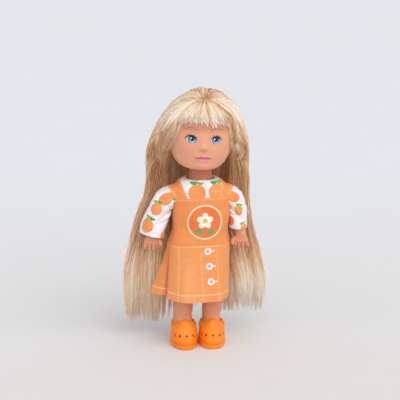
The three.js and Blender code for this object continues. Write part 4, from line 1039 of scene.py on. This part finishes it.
def neckline_height(x, y):
    """Height at which the bodice's outside passes over each point of the neckline."""
    z = np.linspace(SHOULDER_Z, TORSO_TOP_Z + 0.9, 500)[:, None]
    width, depth = torso_section(z, CLOTH_OUT)
    eased = y - back_ease(x, y)
    beyond = np.abs(x / width) ** TORSO_POWER + np.abs(eased / depth) ** TORSO_POWER > 1
    return z[np.argmax(beyond, 0), 0]


def build_binding():
    """A narrow rolled band swept round the neckline, lower in front than at the shoulders."""
    turn = full_turn(180)
    z = neckline_height(NECKLINE_RADIUS * np.cos(turn), NECKLINE_RADIUS * np.sin(turn))
    for _ in range(12):
        z = 0.25 * np.roll(z, 1) + 0.5 * z + 0.25 * np.roll(z, -1)
    around = full_turn(14)
    out = 0.34 * np.cos(around)[:, None]
    rise = 0.55 * np.sin(around)[:, None] + 0.15
    gather = 1 + 0.05 * np.cos(60 * turn)
    radius = NECKLINE_RADIUS + out * gather
    rings = np.stack([radius * np.cos(turn), radius * np.sin(turn), z + rise], -1)
    quads = ring_quads(15, 180)
    quads = np.where(quads >= 14 * 180, quads - 14 * 180, quads)
    band = mesh_object("neck_binding_band", rings.reshape(-1, 3), quads)
    p = weave_round(band)
    painted(band, plain((246, 240, 240), len(p)))
    return finish_piece(band, "torso", satin, "white_cloth", "neck_binding")


def build_tapes():
    """Strips that follow the torso's back under the opening, one on the other."""
    made = []
    low, high = WAIST_Z + 0.6, WAIST_Z + 22.6
    for name, grow in (("loop_tape", 0.3), ("hook_tape", 0.95)):
        z = np.linspace(low, high, 60)[:, None]
        x = np.linspace(-TAPE_HALF_WIDTH, TAPE_HALF_WIDTH, 24)[None, :]

        def at(margin):
            width, depth = torso_section(z, margin)
            return np.stack([x + 0 * z, depth * across_to_depth(x / width), z + 0 * x], -1)

        points, quads = sheet(at(grow + 0.5), at(grow))
        strip = mesh_object(f"{name}_strip", points, quads)
        made.append(finish_piece(strip, "torso", tape_nap, "touch_tape", name))
    return made


def turn_from(turn, middle):
    return np.mod(turn - middle + np.pi, 2 * np.pi) - np.pi


SKIRT_POWER = 0.74
PLEAT_TURN = 0.965 * np.pi
VALLEY_TURN = -0.945 * np.pi


def skirt_lean(drop):
    """How far the skirt hangs towards the doll's right."""
    return 0.3 + 0.9 * drop**1.25


def skirt_surface(turn, drop):
    """Superellipse rings that flare with the drop, with the side pleat, its dark valley and soft folds."""
    spread = drop**1.25
    facing = np.maximum(0, -np.sin(turn))
    behind = np.maximum(0, np.sin(turn))
    half_width = TORSO_HALF_WIDTH + 1.0 + 0.7 + 0.5 * spread
    half_depth = TORSO_HALF_DEPTH + 1.0 + 2.4 * spread + BACK_EASE * behind * (1 - 0.6 * drop)
    from_pleat = turn_from(turn, PLEAT_TURN)
    pleat = 6.9 * np.exp(-(np.abs(from_pleat / 0.15) ** 1.6))
    valley = -2.0 * bell(turn_from(turn, VALLEY_TURN), 0.06)
    folds = 0.9 * behind * np.cos(9 * turn) + 1.1 * bell(turn - 0.28, 0.2)
    wave = 0.35 * facing * np.cos(7 * turn + 0.6) + 0.12 * np.cos(17 * turn + 3 * drop)
    c, s = np.cos(turn), np.sin(turn)
    x = np.sign(c) * np.abs(c) ** SKIRT_POWER * half_width
    y = np.sign(s) * np.abs(s) ** SKIRT_POWER * half_depth
    size = np.hypot(x, y)
    grown = 1 + spread * (pleat + valley + folds + wave) / size
    gather = 1 - 0.012 * bell(drop - 0.01, 0.02)
    hem_rise = 1.4 * (1 - facing)
    z = WAIST_Z - drop * (WAIST_Z - HEM_Z - hem_rise)
    return np.stack([x * grown * gather - skirt_lean(drop), y * grown * gather, z], -1)


def build_skirt():
    """Four quarters of one flared cloth, with a doubled hem."""
    quarters = {
        "skirt_front_right": (-np.pi, -np.pi / 2, "leg_right", "skirt_front"),
        "skirt_front_left": (-np.pi / 2, 0, "leg_left", "skirt_front"),
        "skirt_side_left": (0, np.pi / 2, "leg_left", "skirt_back_left"),
        "skirt_side_right": (np.pi / 2, np.pi, "leg_right", "skirt_back_right"),
    }
    made = []
    for name, (start, end, leg, node) in quarters.items():
        turn = np.linspace(start, end, 130)[None, :]
        drop = np.linspace(0, 1, 110)[:, None]
        outer = skirt_surface(turn + 0 * drop, drop + 0 * turn)
        thickness = (0.32 + 0.26 * smooth(drop, 0.855, 0.875))[..., None]
        face = inset(outer, np.broadcast_to(thickness, outer.shape))
        if np.linalg.norm(face[50, 60, :2]) > np.linalg.norm(outer[50, 60, :2]):
            face = 2 * outer - face
        points, quads = sheet(outer, face)
        cloth = mesh_object(f"{name}_cloth", points, quads)
        cloth.data.set_sharp_from_angle(angle=np.radians(60))
        flat_turn = np.tile((turn + 0 * drop).ravel(), 2)
        flat_drop = np.tile((drop + 0 * turn).ravel(), 2)
        across = points[:, 0] + skirt_lean(flat_drop)
        front = (flat_turn <= 0) & (points[:, 1] < -3)
        put(cloth, "weave", np.column_stack([13 * flat_turn, 25 * flat_drop, 0 * flat_drop]))
        shade = bell(turn_from(flat_turn, VALLEY_TURN), 0.06) * smooth(flat_drop, 0.02, 0.3)
        painted(cloth, skirt_print(across, flat_drop, front, shade))
        finish_piece(cloth, None, satin, "orange_cloth", node)
        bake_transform(cloth)
        made.append(cloth)
    return made


# Each sleeve: cuff middle out, cuff half width, cuff height, its slant in degrees, how it leaves the
# shoulder, how much it puffs outwards, and its fruits as distance round from the front line, distance
# down from the armhole, radius and lean
SLEEVES = {
    "left": (17.5, 4.1, 54.9, 0, (2.9, -0.6), 0.1, [
        (0.5, 1.6, 2.9, 0.2), (0.2, 8.4, 2.4, -0.4), (2.6, 16.6, 2.1, 0.3), (-5.6, 13.0, 2.6, 0.5),
        (9.0, 5.5, 2.7, 0.0), (11.0, 13.5, 2.5, 0.4), (-12.5, 7.0, 2.7, -0.3), (17.0, 9.5, 2.6, 0.1),
    ]),
    "right": (22.1, 5.7, 52.2, 14, (4.2, -0.7), 0.1, [
        (1.3, 3.6, 2.9, 0.3), (2.5, 8.9, 2.7, -0.3), (4.2, 17.0, 3.3, 0.1), (-5.8, 19.8, 2.6, 0.5),
        (11.5, 6.0, 2.7, 0.0), (13.5, 14.5, 2.8, 0.4), (-13.0, 9.0, 2.7, -0.3), (-12.5, 17.5, 2.6, 0.1),
    ]),
}


def build_sleeve(name, side):
    """Rings carried along a bend from the bodice's side to the cuff, with creases and a doubled cuff."""
    cuff_x, cuff_half, cuff_z, slant, (away, up), puff, fruits = SLEEVES[name]
    back = 8.6 * np.array([-np.sin(np.radians(slant)), 0.03, np.cos(np.radians(slant))])
    cuff = np.array([cuff_x, -0.7, cuff_z])
    start = np.array([TORSO_HALF_WIDTH + 0.2, 0, SHOULDER_Z])
    a, b, c, d = start, start + [away, 0, up], cuff + back, cuff
    t = np.linspace(0, 1, 140)[:, None]
    path = (1 - t) ** 3 * a + 3 * t * (1 - t) ** 2 * b + 3 * t * t * (1 - t) * c + t**3 * d
    heading = np.gradient(path, axis=0)
    heading /= np.linalg.norm(heading, axis=1, keepdims=True)
    heading[0] = heading[1]
    across = np.stack([-heading[:, 2], 0 * heading[:, 1], heading[:, 0]], -1)
    turn = np.linspace(0, 2 * np.pi, 201)[None, :-1]
    half = 5.1 + (cuff_half - 5.1) * smooth(t, 0.2, 0.95)
    half = half + puff * bell(t - 0.38, 0.28) * np.maximum(0, np.cos(turn))
    deep = 5.15 + 0.35 * smooth(t, 0.1, 0.9)
    size = 0.22 * np.cos(3 * turn + 7 * t + side) + 0.16 * np.cos(5 * turn - 9 * t)
    for at, place, lean, depth, width in (
        (0.42, 3.5, 0.16, 1.1, 0.05), (0.56, 3.9, 0.2, 0.9, 0.04), (0.33, 4.6, -0.1, 0.5, 0.04),
        (0.72, 4.2, 0.12, 0.6, 0.035), (0.5, 2.4, 0.1, 0.8, 0.05), (0.62, 5.6, -0.12, 0.4, 0.04),
    ):
        from_place = turn_from(turn, place)
        size = size - depth * bell(t - at - lean * from_place, width) * bell(from_place, 0.8)
    size = size * smooth(t, 0.06, 0.25) * smooth(t, 1.0, 0.88)
    grid = (path[:, None, :] + (half + size)[..., None] * np.cos(turn)[..., None] * across[:, None, :]
            + (deep + size)[..., None] * np.sin(turn)[..., None] * np.array([0, 1.0, 0]))
    width, depth = torso_section(grid[0, :, 2], 0.8)
    on_bodice = width * across_to_depth(np.minimum(1, np.abs(grid[0, :, 1] / depth)))
    grid[..., 0] += (on_bodice - grid[0, :, 0]) * (1 - smooth(t, 0, 0.3))
    grid = grid * [side, 1, 1]
    thickness = (0.3 + 0.24 * smooth(t, 0.9, 0.93))[..., None] * np.ones((1, 200, 1))
    face = inset(grid, thickness, closed=True)
    if np.ptp(face[60, :, 1]) > np.ptp(grid[60, :, 1]):
        face = 2 * grid - face
    points, quads = sheet(grid, face, closed=True)
    sleeve = mesh_object(f"sleeve_{name}_cloth", points, quads)
    down = np.append(0, np.cumsum(np.linalg.norm(np.diff(path, axis=0), axis=1)))[:, None]
    round_mm = np.tile((5.4 * turn_from(turn, -np.pi / 2) + 0 * t).ravel(), 2)
    down_mm = np.tile((down + 0 * turn).ravel(), 2)
    colours = plain((245, 239, 244), len(points))
    for out, below, radius, lean in fruits:
        colours = fruit(colours, round_mm, -down_mm, (out, -below), radius, lean)
    colours = laid_over(colours, 0.5 * inside(0.14 - np.abs(down_mm - down.max() + 1.9)), (222, 212, 220))
    x, z = np.abs(points[:, 0]), points[:, 2]
    strap_edge = 12.3 + 0.6 * (z - 70)
    strap = inside(np.minimum(strap_edge - x, z - 68.4))
    colours = laid_over(colours, strap, ORANGE)
    on_strap = 1e3 * (z < 69)
    colours = stitched(colours, x - strap_edge + 0.8 + on_strap, z)
    put(sleeve, "weave", np.column_stack([round_mm, down_mm, 0 * down_mm]))
    painted(sleeve, colours)
    return finish_piece(sleeve, f"arm_{name}", satin, "white_cloth", f"sleeve_{name}")


# Hair. Strands leave a whorl on the front of the crown, lie on a dome over the skull and then hang.

DOME_BASE_Z = CHIN_Z + 2.7
DOME_HALF_WIDTH = 22.6
DOME_FRONT = 17.3
DOME_BACK = 19.3
WHORL = np.array([-0.04, -0.42, 0.0])
WHORL[2] = np.sqrt(1 - WHORL[0] ** 2 - WHORL[1] ** 2)
TIP_TURN = np.radians(126)
FOLD_TURN = np.radians(95)
DOME_STEPS, HANG_STEPS = 8, 12
LOCKS = 46
REACH_Z = [10, 26, 36, 53, 63, 70, 78, 86, 93]
REACH = {
    "left": [31.4, 33.0, 30.4, 25.9, 23.8, 23.3, 23.9, 24.4, 23.8],
    "right": [32.6, 33.4, 32.9, 29.8, 26.7, 24.0, 23.2, 23.7, 24.2],
}
SIDE_END = {"left": 12.3, "right": 8.8}
SIDE_END_RISE = {"left": 4, "right": 2}


def comb(direction, root, end_level, count):
    """Unit vectors along great circles from the whorl, from a root angle to where they reach a level."""
    w = WHORL
    back = np.array([0, 1.0, 0]) - w[1] * w
    back /= np.linalg.norm(back)
    side = np.cross(back, w)
    heading = np.cos(direction)[:, None] * back + np.sin(direction)[:, None] * side
    a, b = w[2], heading[:, 2]
    end = np.arctan2(b, a) + np.arccos(np.clip(end_level / np.hypot(a, b), -1, 1))
    polar = root[:, None] + (end - root)[:, None] * np.linspace(0, 1, count)
    units = np.cos(polar)[..., None] * w + np.sin(polar)[..., None] * heading[:, None, :]
    return units, polar


def on_dome(units, depth):
    """Points on the dome less a depth: an oval a little fuller than an ellipse, leaning with the head."""
    level = units[..., 2]
    full = np.maximum(1 - level**2, 0.02) ** -0.07
    long = np.where(units[..., 1] < 0, DOME_FRONT, DOME_BACK)
    to_right = 0.08 * smooth(level, 0.55, 0.05) - 0.08 * bell(level - 0.8, 0.18)
    to_right = to_right - 0.34 * smooth(level, 0.76, 0.99)
    to_left = 0.05 * smooth(level, 0.5, 0.1) - 0.05 * smooth(level, 0.8, 0.97)
    fuller = 1 + np.where(units[..., 0] < 0, to_right, to_left)
    x = (DOME_HALF_WIDTH - depth) * units[..., 0] * full * fuller
    y = (long - depth) * units[..., 1] * full
    z = DOME_BASE_Z + (HAIR_TOP_Z - DOME_BASE_Z - depth) * level
    return tilted(np.stack([x, y, z], -1))


def hair_depth(units):
    """Thickness of the hair over the skull: thin on top, thick at the sides."""
    return 2.3 + 4.1 * (1 - units[..., 2] ** 2)


def clear_of_head(points, margin):
    """Pushes points out of the skull, level by level."""
    x = points[..., 0] - HEAD_SHIFT - np.sin(HEAD_TILT) * (points[..., 2] - NECK_TOP_Z)
    level = np.clip((points[..., 2] - HEAD_MID_Z) / (HEAD_HEIGHT / 2), -0.98, 0.98)
    width, front, back = head_section(level, margin)
    long = np.where(points[..., 1] < 0, front, back)
    share = np.hypot(x / width, points[..., 1] / long)
    within = np.abs((points[..., 2] - HEAD_MID_Z) / (HEAD_HEIGHT / 2)) < 0.98
    push = np.where(within & (share < 1), 1 / np.maximum(share, 0.2), 1)
    shifted = points.copy()
    shifted[..., 0] = points[..., 0] + x * (push - 1)
    shifted[..., 1] = points[..., 1] * push
    return shifted


def clear_of_temples(points, loose):
    """Draws the strands in front of the temples out to the sides of the face, where they lie on the skull."""
    z = points[..., 2]
    middle = HEAD_SHIFT + np.sin(HEAD_TILT) * (z - NECK_TOP_Z)
    x = points[..., 0] - middle
    edge = (12.5 + 0.9 * smooth(z, 104, 95) + 0.7 * loose) * smooth(z, 118, 105)
    ahead = smooth(points[..., 1], -1, -5)
    room = np.maximum(0, edge - np.abs(x)) * ahead
    x = x + np.sign(x) * room
    level = np.clip((z - HEAD_MID_Z) / (HEAD_HEIGHT / 2), -0.98, 0.98)
    width, front, _ = head_section(level, 1.2 + 0.9 * loose)
    skin = -front * np.sqrt(np.maximum(0.06, 1 - (x / width) ** 2))
    shifted = points.copy()
    shifted[..., 0] = x + middle
    shifted[..., 1] += np.maximum(0, skin - points[..., 1]) * ahead * smooth(z, 108, 102)
    return shifted


def thread(name, paths, radius, tone):
    """Three-sided threads along paths (strands, points, 3), closed at both ends."""
    count, steps = paths.shape[:2]
    ahead = np.gradient(paths, axis=1)
    ahead /= np.linalg.norm(ahead, axis=-1, keepdims=True) + 1e-9
    side = np.cross(ahead, [0.35, 0.9, 0.25])
    side /= np.linalg.norm(side, axis=-1, keepdims=True) + 1e-9
    up = np.cross(side, ahead)
    angle = full_turn(3)
    spokes = np.cos(angle)[:, None] * side[:, :, None, :] + np.sin(angle)[:, None] * up[:, :, None, :]
    rings = paths[:, :, None, :] + radius[:, :, None, None] * spokes
    first = np.arange(count)[:, None] * steps * 3
    quads = (first[:, :, None] + ring_quads(steps, 3)[None]).reshape(-1, 4)
    tips = np.concatenate([first + [2, 1, 0], first + (steps - 1) * 3 + [0, 1, 2]])
    made = mesh_object(name, rings.reshape(-1, 3), quads, tips)
    put(made, "tone", np.clip(np.repeat(tone.reshape(-1), 3), 0, 1))
    return made


def strand_radius(count, steps, seed):
    random = np.random.default_rng(seed)
    along = np.linspace(0, 1, steps)
    return (0.1 + 0.05 * random.random((count, 1))) * (1 - 0.75 * smooth(along, 0.72, 1.0))


def strand_tone(count, layer, lock, polar, seed):
    """Tone of each point: its strand and lock vary it; painted shade makes deep strands and the whorl darker.
    """
    random = np.random.default_rng(seed)
    own = 0.46 + 0.18 * random.standard_normal((count, 1))
    of_lock = 0.12 * np.random.default_rng(7).standard_normal(200)[lock % 200][:, None]
    # Painted shade: deeper layers and strands near the whorl are darker.
    return own + of_lock - 0.12 * (1 - layer[:, None]) - 0.42 * bell(polar, 0.3)


def folded_share(section):
    """Share of the reach: it grows from the back to the head's side, then folds back towards the face."""
    beyond = np.abs(section) / FOLD_TURN - 1
    return np.sign(section) * (1 - np.abs(beyond) ** 1.3 * np.where(beyond > 0, 1.9, 1))


def hanging_light_and_shade(tone, path, share, beyond):
    """Tone with painted light and shade: lighter beside the fringe, at the outermost strands and towards the
    tips, darker at the shoulders and behind the cheeks, and changed on each side.
    """
    x, y, z = path[..., 0], path[..., 1], path[..., 2]
    # Painted light beside the fringe, painted shade at the shoulders, painted light at the tips, a painted
    # highlight on the outermost strands and painted shade behind the cheeks.
    fringe_side_light = 0.3 * smooth(z, 99, 108) * smooth(y, 8, -6)
    shoulders = -0.14 * bell(z - 66, 26)
    tips = 0.34 * smooth(z, 58, 18) * smooth(y, 16, 9)
    outer_highlight = 0.14 * smooth(np.abs(share), 0.8, 1.0)[:, None]
    cheek_shade = -0.22 * smooth(beyond, -0.1, 0.2)[:, None] * smooth(z, 100, 93) * smooth(z, 62, 74)
    # Painted light low on the doll's left with a band of painted shade above it, and painted light far out on
    # its right.
    left = smooth(x, 12, 22) * (0.26 * smooth(z, 36, 24) - 0.14 * bell(z - 44, 9))
    right = 0.08 * smooth(-x, 20, 30)
    return tone + fringe_side_light + shoulders + tips + outer_highlight + cheek_shade + left + right


def hanging(name, node, side_name, body_turns, layers, count, seed):
    """Strands over the dome, then down behind the arms: their section opens from a ring to a flat curtain."""
    random = np.random.default_rng(seed)
    turn = random.uniform(*body_turns, count)
    layer = random.uniform(*layers, count)
    root = np.minimum(np.abs(random.normal(0, 0.42, count)) + 0.05, 1.15)
    lock = np.floor((turn / TIP_TURN + 1) * LOCKS / 2 + random.normal(0, 0.4, count)).astype(int)
    lock = np.clip(lock, 0, LOCKS - 1)
    lock_wave, lock_phase, lock_end, lock_drift = np.random.default_rng(11).standard_normal((4, LOCKS))
    units, polar = comb(turn, root, 0.0, DOME_STEPS)
    along = np.linspace(0, 1, DOME_STEPS)
    rise = smooth(along, -0.3, 0.35)[None, :] * layer[:, None]
    flute = 0.2 * np.cos(LOCKS * turn)[:, None] * smooth(along, 0.1, 0.6)
    scalp = on_dome(units, (1 - rise) * hair_depth(units) + 0.35 + flute)
    last = scalp[:, -1]
    section = np.arctan2(units[:, -1, 0], units[:, -1, 1])
    beyond = np.abs(section) / FOLD_TURN - 1
    share = folded_share(section)
    lowest = SIDE_END[side_name]
    side_end = lowest + SIDE_END_RISE[side_name] * smooth(np.abs(share), 0.72, 1.0)
    back_end = node_box("hair_back")[0][2] - 0.5
    end = side_end + (back_end - side_end) * smooth(np.abs(share), 0.5, 0.3)
    end = end + 2.4 * lock_end[lock] + random.gamma(1.8, 4.4, count) - 2.5
    end = np.clip(end, lowest - 1.5, side_end + 32)
    fall = np.linspace(0, 1, HANG_STEPS + 1)[1:]
    z_hang = last[:, 2:] + (end[:, None] - last[:, 2:]) * fall
    level_part = np.repeat(last[:, None, :2], HANG_STEPS, 1)
    path = np.concatenate([scalp, np.concatenate([level_part, z_hang[..., None]], -1)], 1)
    z = path[..., 2]
    clump = 0.66 * smooth(z, 46, 10)
    centre = folded_share(TIP_TURN * (2 * (lock + 0.5) / LOCKS - 1)) + 0.012 * lock_drift[lock]
    drawn_share = share[:, None] + (centre - share)[:, None] * clump
    x_cloth = drawn_share * np.interp(z, REACH_Z, REACH[side_name])
    behind_arm = smooth(np.abs(x_cloth), 10.5, 15.5)
    back_line = np.interp(z, [23, 36, 49, 77], [15.2, 14.4, 13.2, 12.6])
    side_line = 9.6 + 1.5 * bell(z - 53, 9) - 2.4 * smooth(beyond, -0.25, 0.12)[:, None]
    y_cloth = back_line + (side_line - back_line) * behind_arm
    y_cloth = y_cloth + (layer[:, None] - 0.5) * 2.8 * (1 - 0.4 * clump)
    x_cloth = x_cloth + 0.5 * np.sin(z / 11 + 3 * lock_phase[lock][:, None]) * smooth(z, 80, 40)
    phase = random.uniform(0, 6.28, (3, count, 1))
    x_cloth = x_cloth + 0.3 * np.sin(z / 6.5 + phase[0]) + 0.1 * np.sin(z / 2.6 + phase[1])
    y_cloth = y_cloth + 0.3 * np.sin(z / 6.1 + phase[2]) + 0.4 * lock_wave[lock][:, None] * clump
    sway = np.linspace(0, 1, DOME_STEPS + HANG_STEPS) ** 2
    x_cloth = x_cloth + (random.random(count) < 0.05)[:, None] * random.normal(0, 1.5, (count, 1)) * sway
    path[..., 0] += (x_cloth - path[..., 0]) * smooth(z, 96, 74)
    path[..., 1] += (y_cloth - path[..., 1]) * smooth(z, 99, 77)
    path = clear_of_temples(clear_of_head(path, 0.35), layer[:, None] + random.random((count, 1)))
    bound = 6.3 + 0.2 * random.random((count, 1)) - 22 * smooth(z, 77.5, 85)
    path[..., 1] = np.maximum(path[..., 1], bound)
    far_from_whorl = np.full((count, HANG_STEPS), 3.0)
    tone = strand_tone(count, layer, lock, np.concatenate([polar, far_from_whorl], 1), seed)
    tone = hanging_light_and_shade(tone, path, share, beyond)
    made = thread(name, path, strand_radius(count, DOME_STEPS + HANG_STEPS, seed), tone)
    made.data.materials.append(hair_fibre)
    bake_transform(made)
    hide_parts(node)


def cap_hair(name, node, count, seed, turns, layers, level, locks, clumping, painted_front_light, scatter, droop):
    """Short strands on the dome from the whorl to a level, drawn into pointed clumps at their ends."""
    random = np.random.default_rng(seed)
    direction = random.uniform(*turns, count)
    layer = random.uniform(*layers, count)
    root = np.minimum(np.abs(random.normal(0, 0.2, count)) + 0.03, 0.34)
    lock = np.floor(direction * locks + random.normal(0, 0.2, count)).astype(int)
    centre = (lock + 0.5) / locks + 0.012 * np.random.default_rng(5).standard_normal(400)[lock % 400]
    ends = level + 0.022 * np.random.default_rng(6).standard_normal(400)[lock % 400]
    ends = ends + scatter * np.abs(random.normal(0, 1, count)) + 0.04 * np.abs(direction - centre) * locks
    ends = np.minimum(ends - droop * smooth(np.abs(direction - np.pi), 0.95, 1.4), 0.8)
    steps = 10
    units, polar = comb(direction, root, ends, steps)
    drawn, _ = comb(centre, root, ends, steps)
    along = np.linspace(0, 1, steps)
    pull = clumping * smooth(along, 0.35, 1)[None, :, None]
    units = units + (drawn - units) * pull
    units /= np.linalg.norm(units, axis=-1, keepdims=True)
    rise = smooth(along, -0.3, 0.3)[None, :] * layer[:, None]
    ridge = 0.25 * np.cos(2 * np.pi * direction * locks)[:, None] * smooth(along, 0.2, 1)
    path = on_dome(units, (1 - rise) * hair_depth(units) + 0.3 + ridge)
    phase = random.uniform(0, 6.28, (2, count, 1))
    path[..., 0] += 0.12 * np.sin(5 * along + phase[0])
    path[..., 2] += 0.06 * np.sin(6 * along + phase[1])
    path = clear_of_head(path, 0.3)
    # Painted light: strands towards the front are lighter.
    tone = strand_tone(count, layer, lock, polar, seed) + painted_front_light * smooth(path[..., 1], 8, -4)
    made = thread(name, path, strand_radius(count, steps, seed), tone)
    finish_piece(made, "head", hair_fibre, "hair_fibre", node)


def build_hair():
    """Three layers to each side, the back, a short cap over the crown and the fringe."""
    for side_name, side in SIDES.items():
        for part, layers in (("under", (0.0, 0.5)), ("middle", (0.3, 0.85)), ("over", (0.65, 1.0))):
            turns = tuple(sorted((side * np.radians(32), side * (TIP_TURN - 0.01))))
            seed = 100 + 10 * side + len(part)
            hanging(f"hair_{side_name}_{part}", f"hair_{side_name}", side_name, turns, layers, 1500, seed)
    back_turns = (-np.radians(46), np.radians(46))
    hanging("hair_back_length", "hair_back", "left", back_turns, (0.1, 1.0), 1650, 131)
    cap_hair("hair_crown_cap", "hair_crown", 3200, 41, turns=(-TIP_TURN, TIP_TURN), layers=(0.0, 0.5),
             level=0.16, locks=6.0, clumping=0.2, painted_front_light=0.16, scatter=0.3, droop=0)
    front = (np.pi - 1.42, np.pi + 1.42)
    cap_hair("hair_fringe_strands", "hair_fringe", 4400, 51, turns=front, layers=(0.3, 1.0),
             level=0.585, locks=9.0, clumping=0.5, painted_front_light=0.44, scatter=0.02, droop=0.16)


# Stage, lights and camera


def build_stage():
    """A wide pale floor that fills the view."""
    far = 6000.0
    ring = np.array([[-far, -far, 0], [far, -far, 0], [far, far, 0], [-far, far, 0]])
    slab = np.stack([ring - [0, 0, 5], ring])
    floor = mesh_object("floor", *tube(slab))
    floor.data.shade_flat()
    made, nodes, links, shader = new_material("pale_paper", 0.85)
    shader.inputs["Specular IOR Level"].default_value = 0.1
    place = nodes.new("ShaderNodeTexCoord").outputs["Object"]
    split = nodes.new("ShaderNodeSeparateXYZ")
    links.new(place, split.inputs[0])
    depth = nodes.new("ShaderNodeMapRange")
    depth.inputs["From Min"].default_value = -0.2
    depth.inputs["From Max"].default_value = 0.35
    links.new(split.outputs["Y"], depth.inputs["Value"])
    blend = nodes.new("ShaderNodeMix")
    blend.data_type = "RGBA"
    links.new(depth.outputs["Result"], blend.inputs["Factor"])
    blend.inputs["A"].default_value = (*linear((227, 224, 221)), 1)
    blend.inputs["B"].default_value = (*linear((229, 231, 235)), 1)
    base = toned(nodes, links, blend.outputs["Result"], noise(nodes, links, place, 30), 0.995, 1.005)
    links.new(base, shader.inputs["Base Color"])
    floor.data.materials.append(made)


def build_world():
    """Even light from all round; the camera sees the backdrop's colour."""
    world = bpy.data.worlds.new("studio")
    bpy.context.scene.world = world
    world.use_nodes = True
    nodes, links = world.node_tree.nodes, world.node_tree.links
    shine = nodes["Background"]
    seen = nodes.new("ShaderNodeBackground")
    seen.inputs["Color"].default_value = (*linear((224, 224, 228)), 1)
    shine.inputs["Color"].default_value = (0.985, 0.985, 1.0, 1)
    shine.inputs["Strength"].default_value = 0.62
    mix = nodes.new("ShaderNodeMixShader")
    ray = nodes.new("ShaderNodeLightPath")
    links.new(ray.outputs["Is Camera Ray"], mix.inputs["Fac"])
    links.new(shine.outputs[0], mix.inputs[1])
    links.new(seen.outputs[0], mix.inputs[2])
    links.new(mix.outputs[0], nodes["World Output"].inputs["Surface"])


def add_sun(name, azimuth, height, softness, power):
    """A distant soft lamp at an azimuth from the doll's front towards its left, and a height, in degrees."""
    a, h = np.radians(azimuth), np.radians(height)
    towards = Vector((-np.sin(a) * np.cos(h), np.cos(a) * np.cos(h), -np.sin(h)))
    data = bpy.data.lights.new(name, "SUN")
    data.angle = np.radians(softness)
    data.energy = power
    lamp = bpy.data.objects.new(name, data)
    lamp.rotation_mode = "QUATERNION"
    lamp.rotation_quaternion = towards.to_track_quat("-Z", "Y")
    lamp.location = -towards * 0.6
    bpy.context.scene.collection.objects.link(lamp)


def build_camera():
    """The photograph's view: from a little to the doll's right and above, with a long lens."""
    azimuth, distance, height = np.radians(-8.65), 500.0, 186.0
    place = Vector((np.sin(azimuth) * distance, -np.cos(azimuth) * distance, height)) * MM
    place += Vector(ORIGIN)
    aim = Vector((0.0, 0, 67.5)) * MM + Vector(ORIGIN)
    data = bpy.data.cameras.new("camera")
    data.lens = 101.9
    data.sensor_width = 36
    camera = bpy.data.objects.new("camera", data)
    roll = Matrix.Rotation(np.radians(0.8), 3, "Z").to_quaternion()
    camera.rotation_mode = "QUATERNION"
    camera.rotation_quaternion = (aim - place).to_track_quat("-Z", "Y") @ roll
    camera.location = place
    bpy.context.scene.collection.objects.link(camera)
    bpy.context.scene.camera = camera


build_camera()
build_stage()
build_world()
add_sun("key", 30, 44, 70, 1.45)
add_sun("fill", -48, 36, 60, 0.35)

build_head()
build_neck()
for name, side in SIDES.items():
    build_arm(name, side)
    build_leg(name, side)
    build_clog(name, side)
bodice = build_bodice()
binding = build_binding()
tapes = build_tapes()
skirt = build_skirt()
sleeves = [build_sleeve(name, side) for name, side in SIDES.items()]
build_hair()
for node in ("torso_front", "torso_back", "hip_pin"):
    piece = frame["nodes"][node]
    piece.data.materials.clear()
    piece.data.materials.append(hard_skin)

bpy.context.scene.view_settings.view_transform = "Standard"
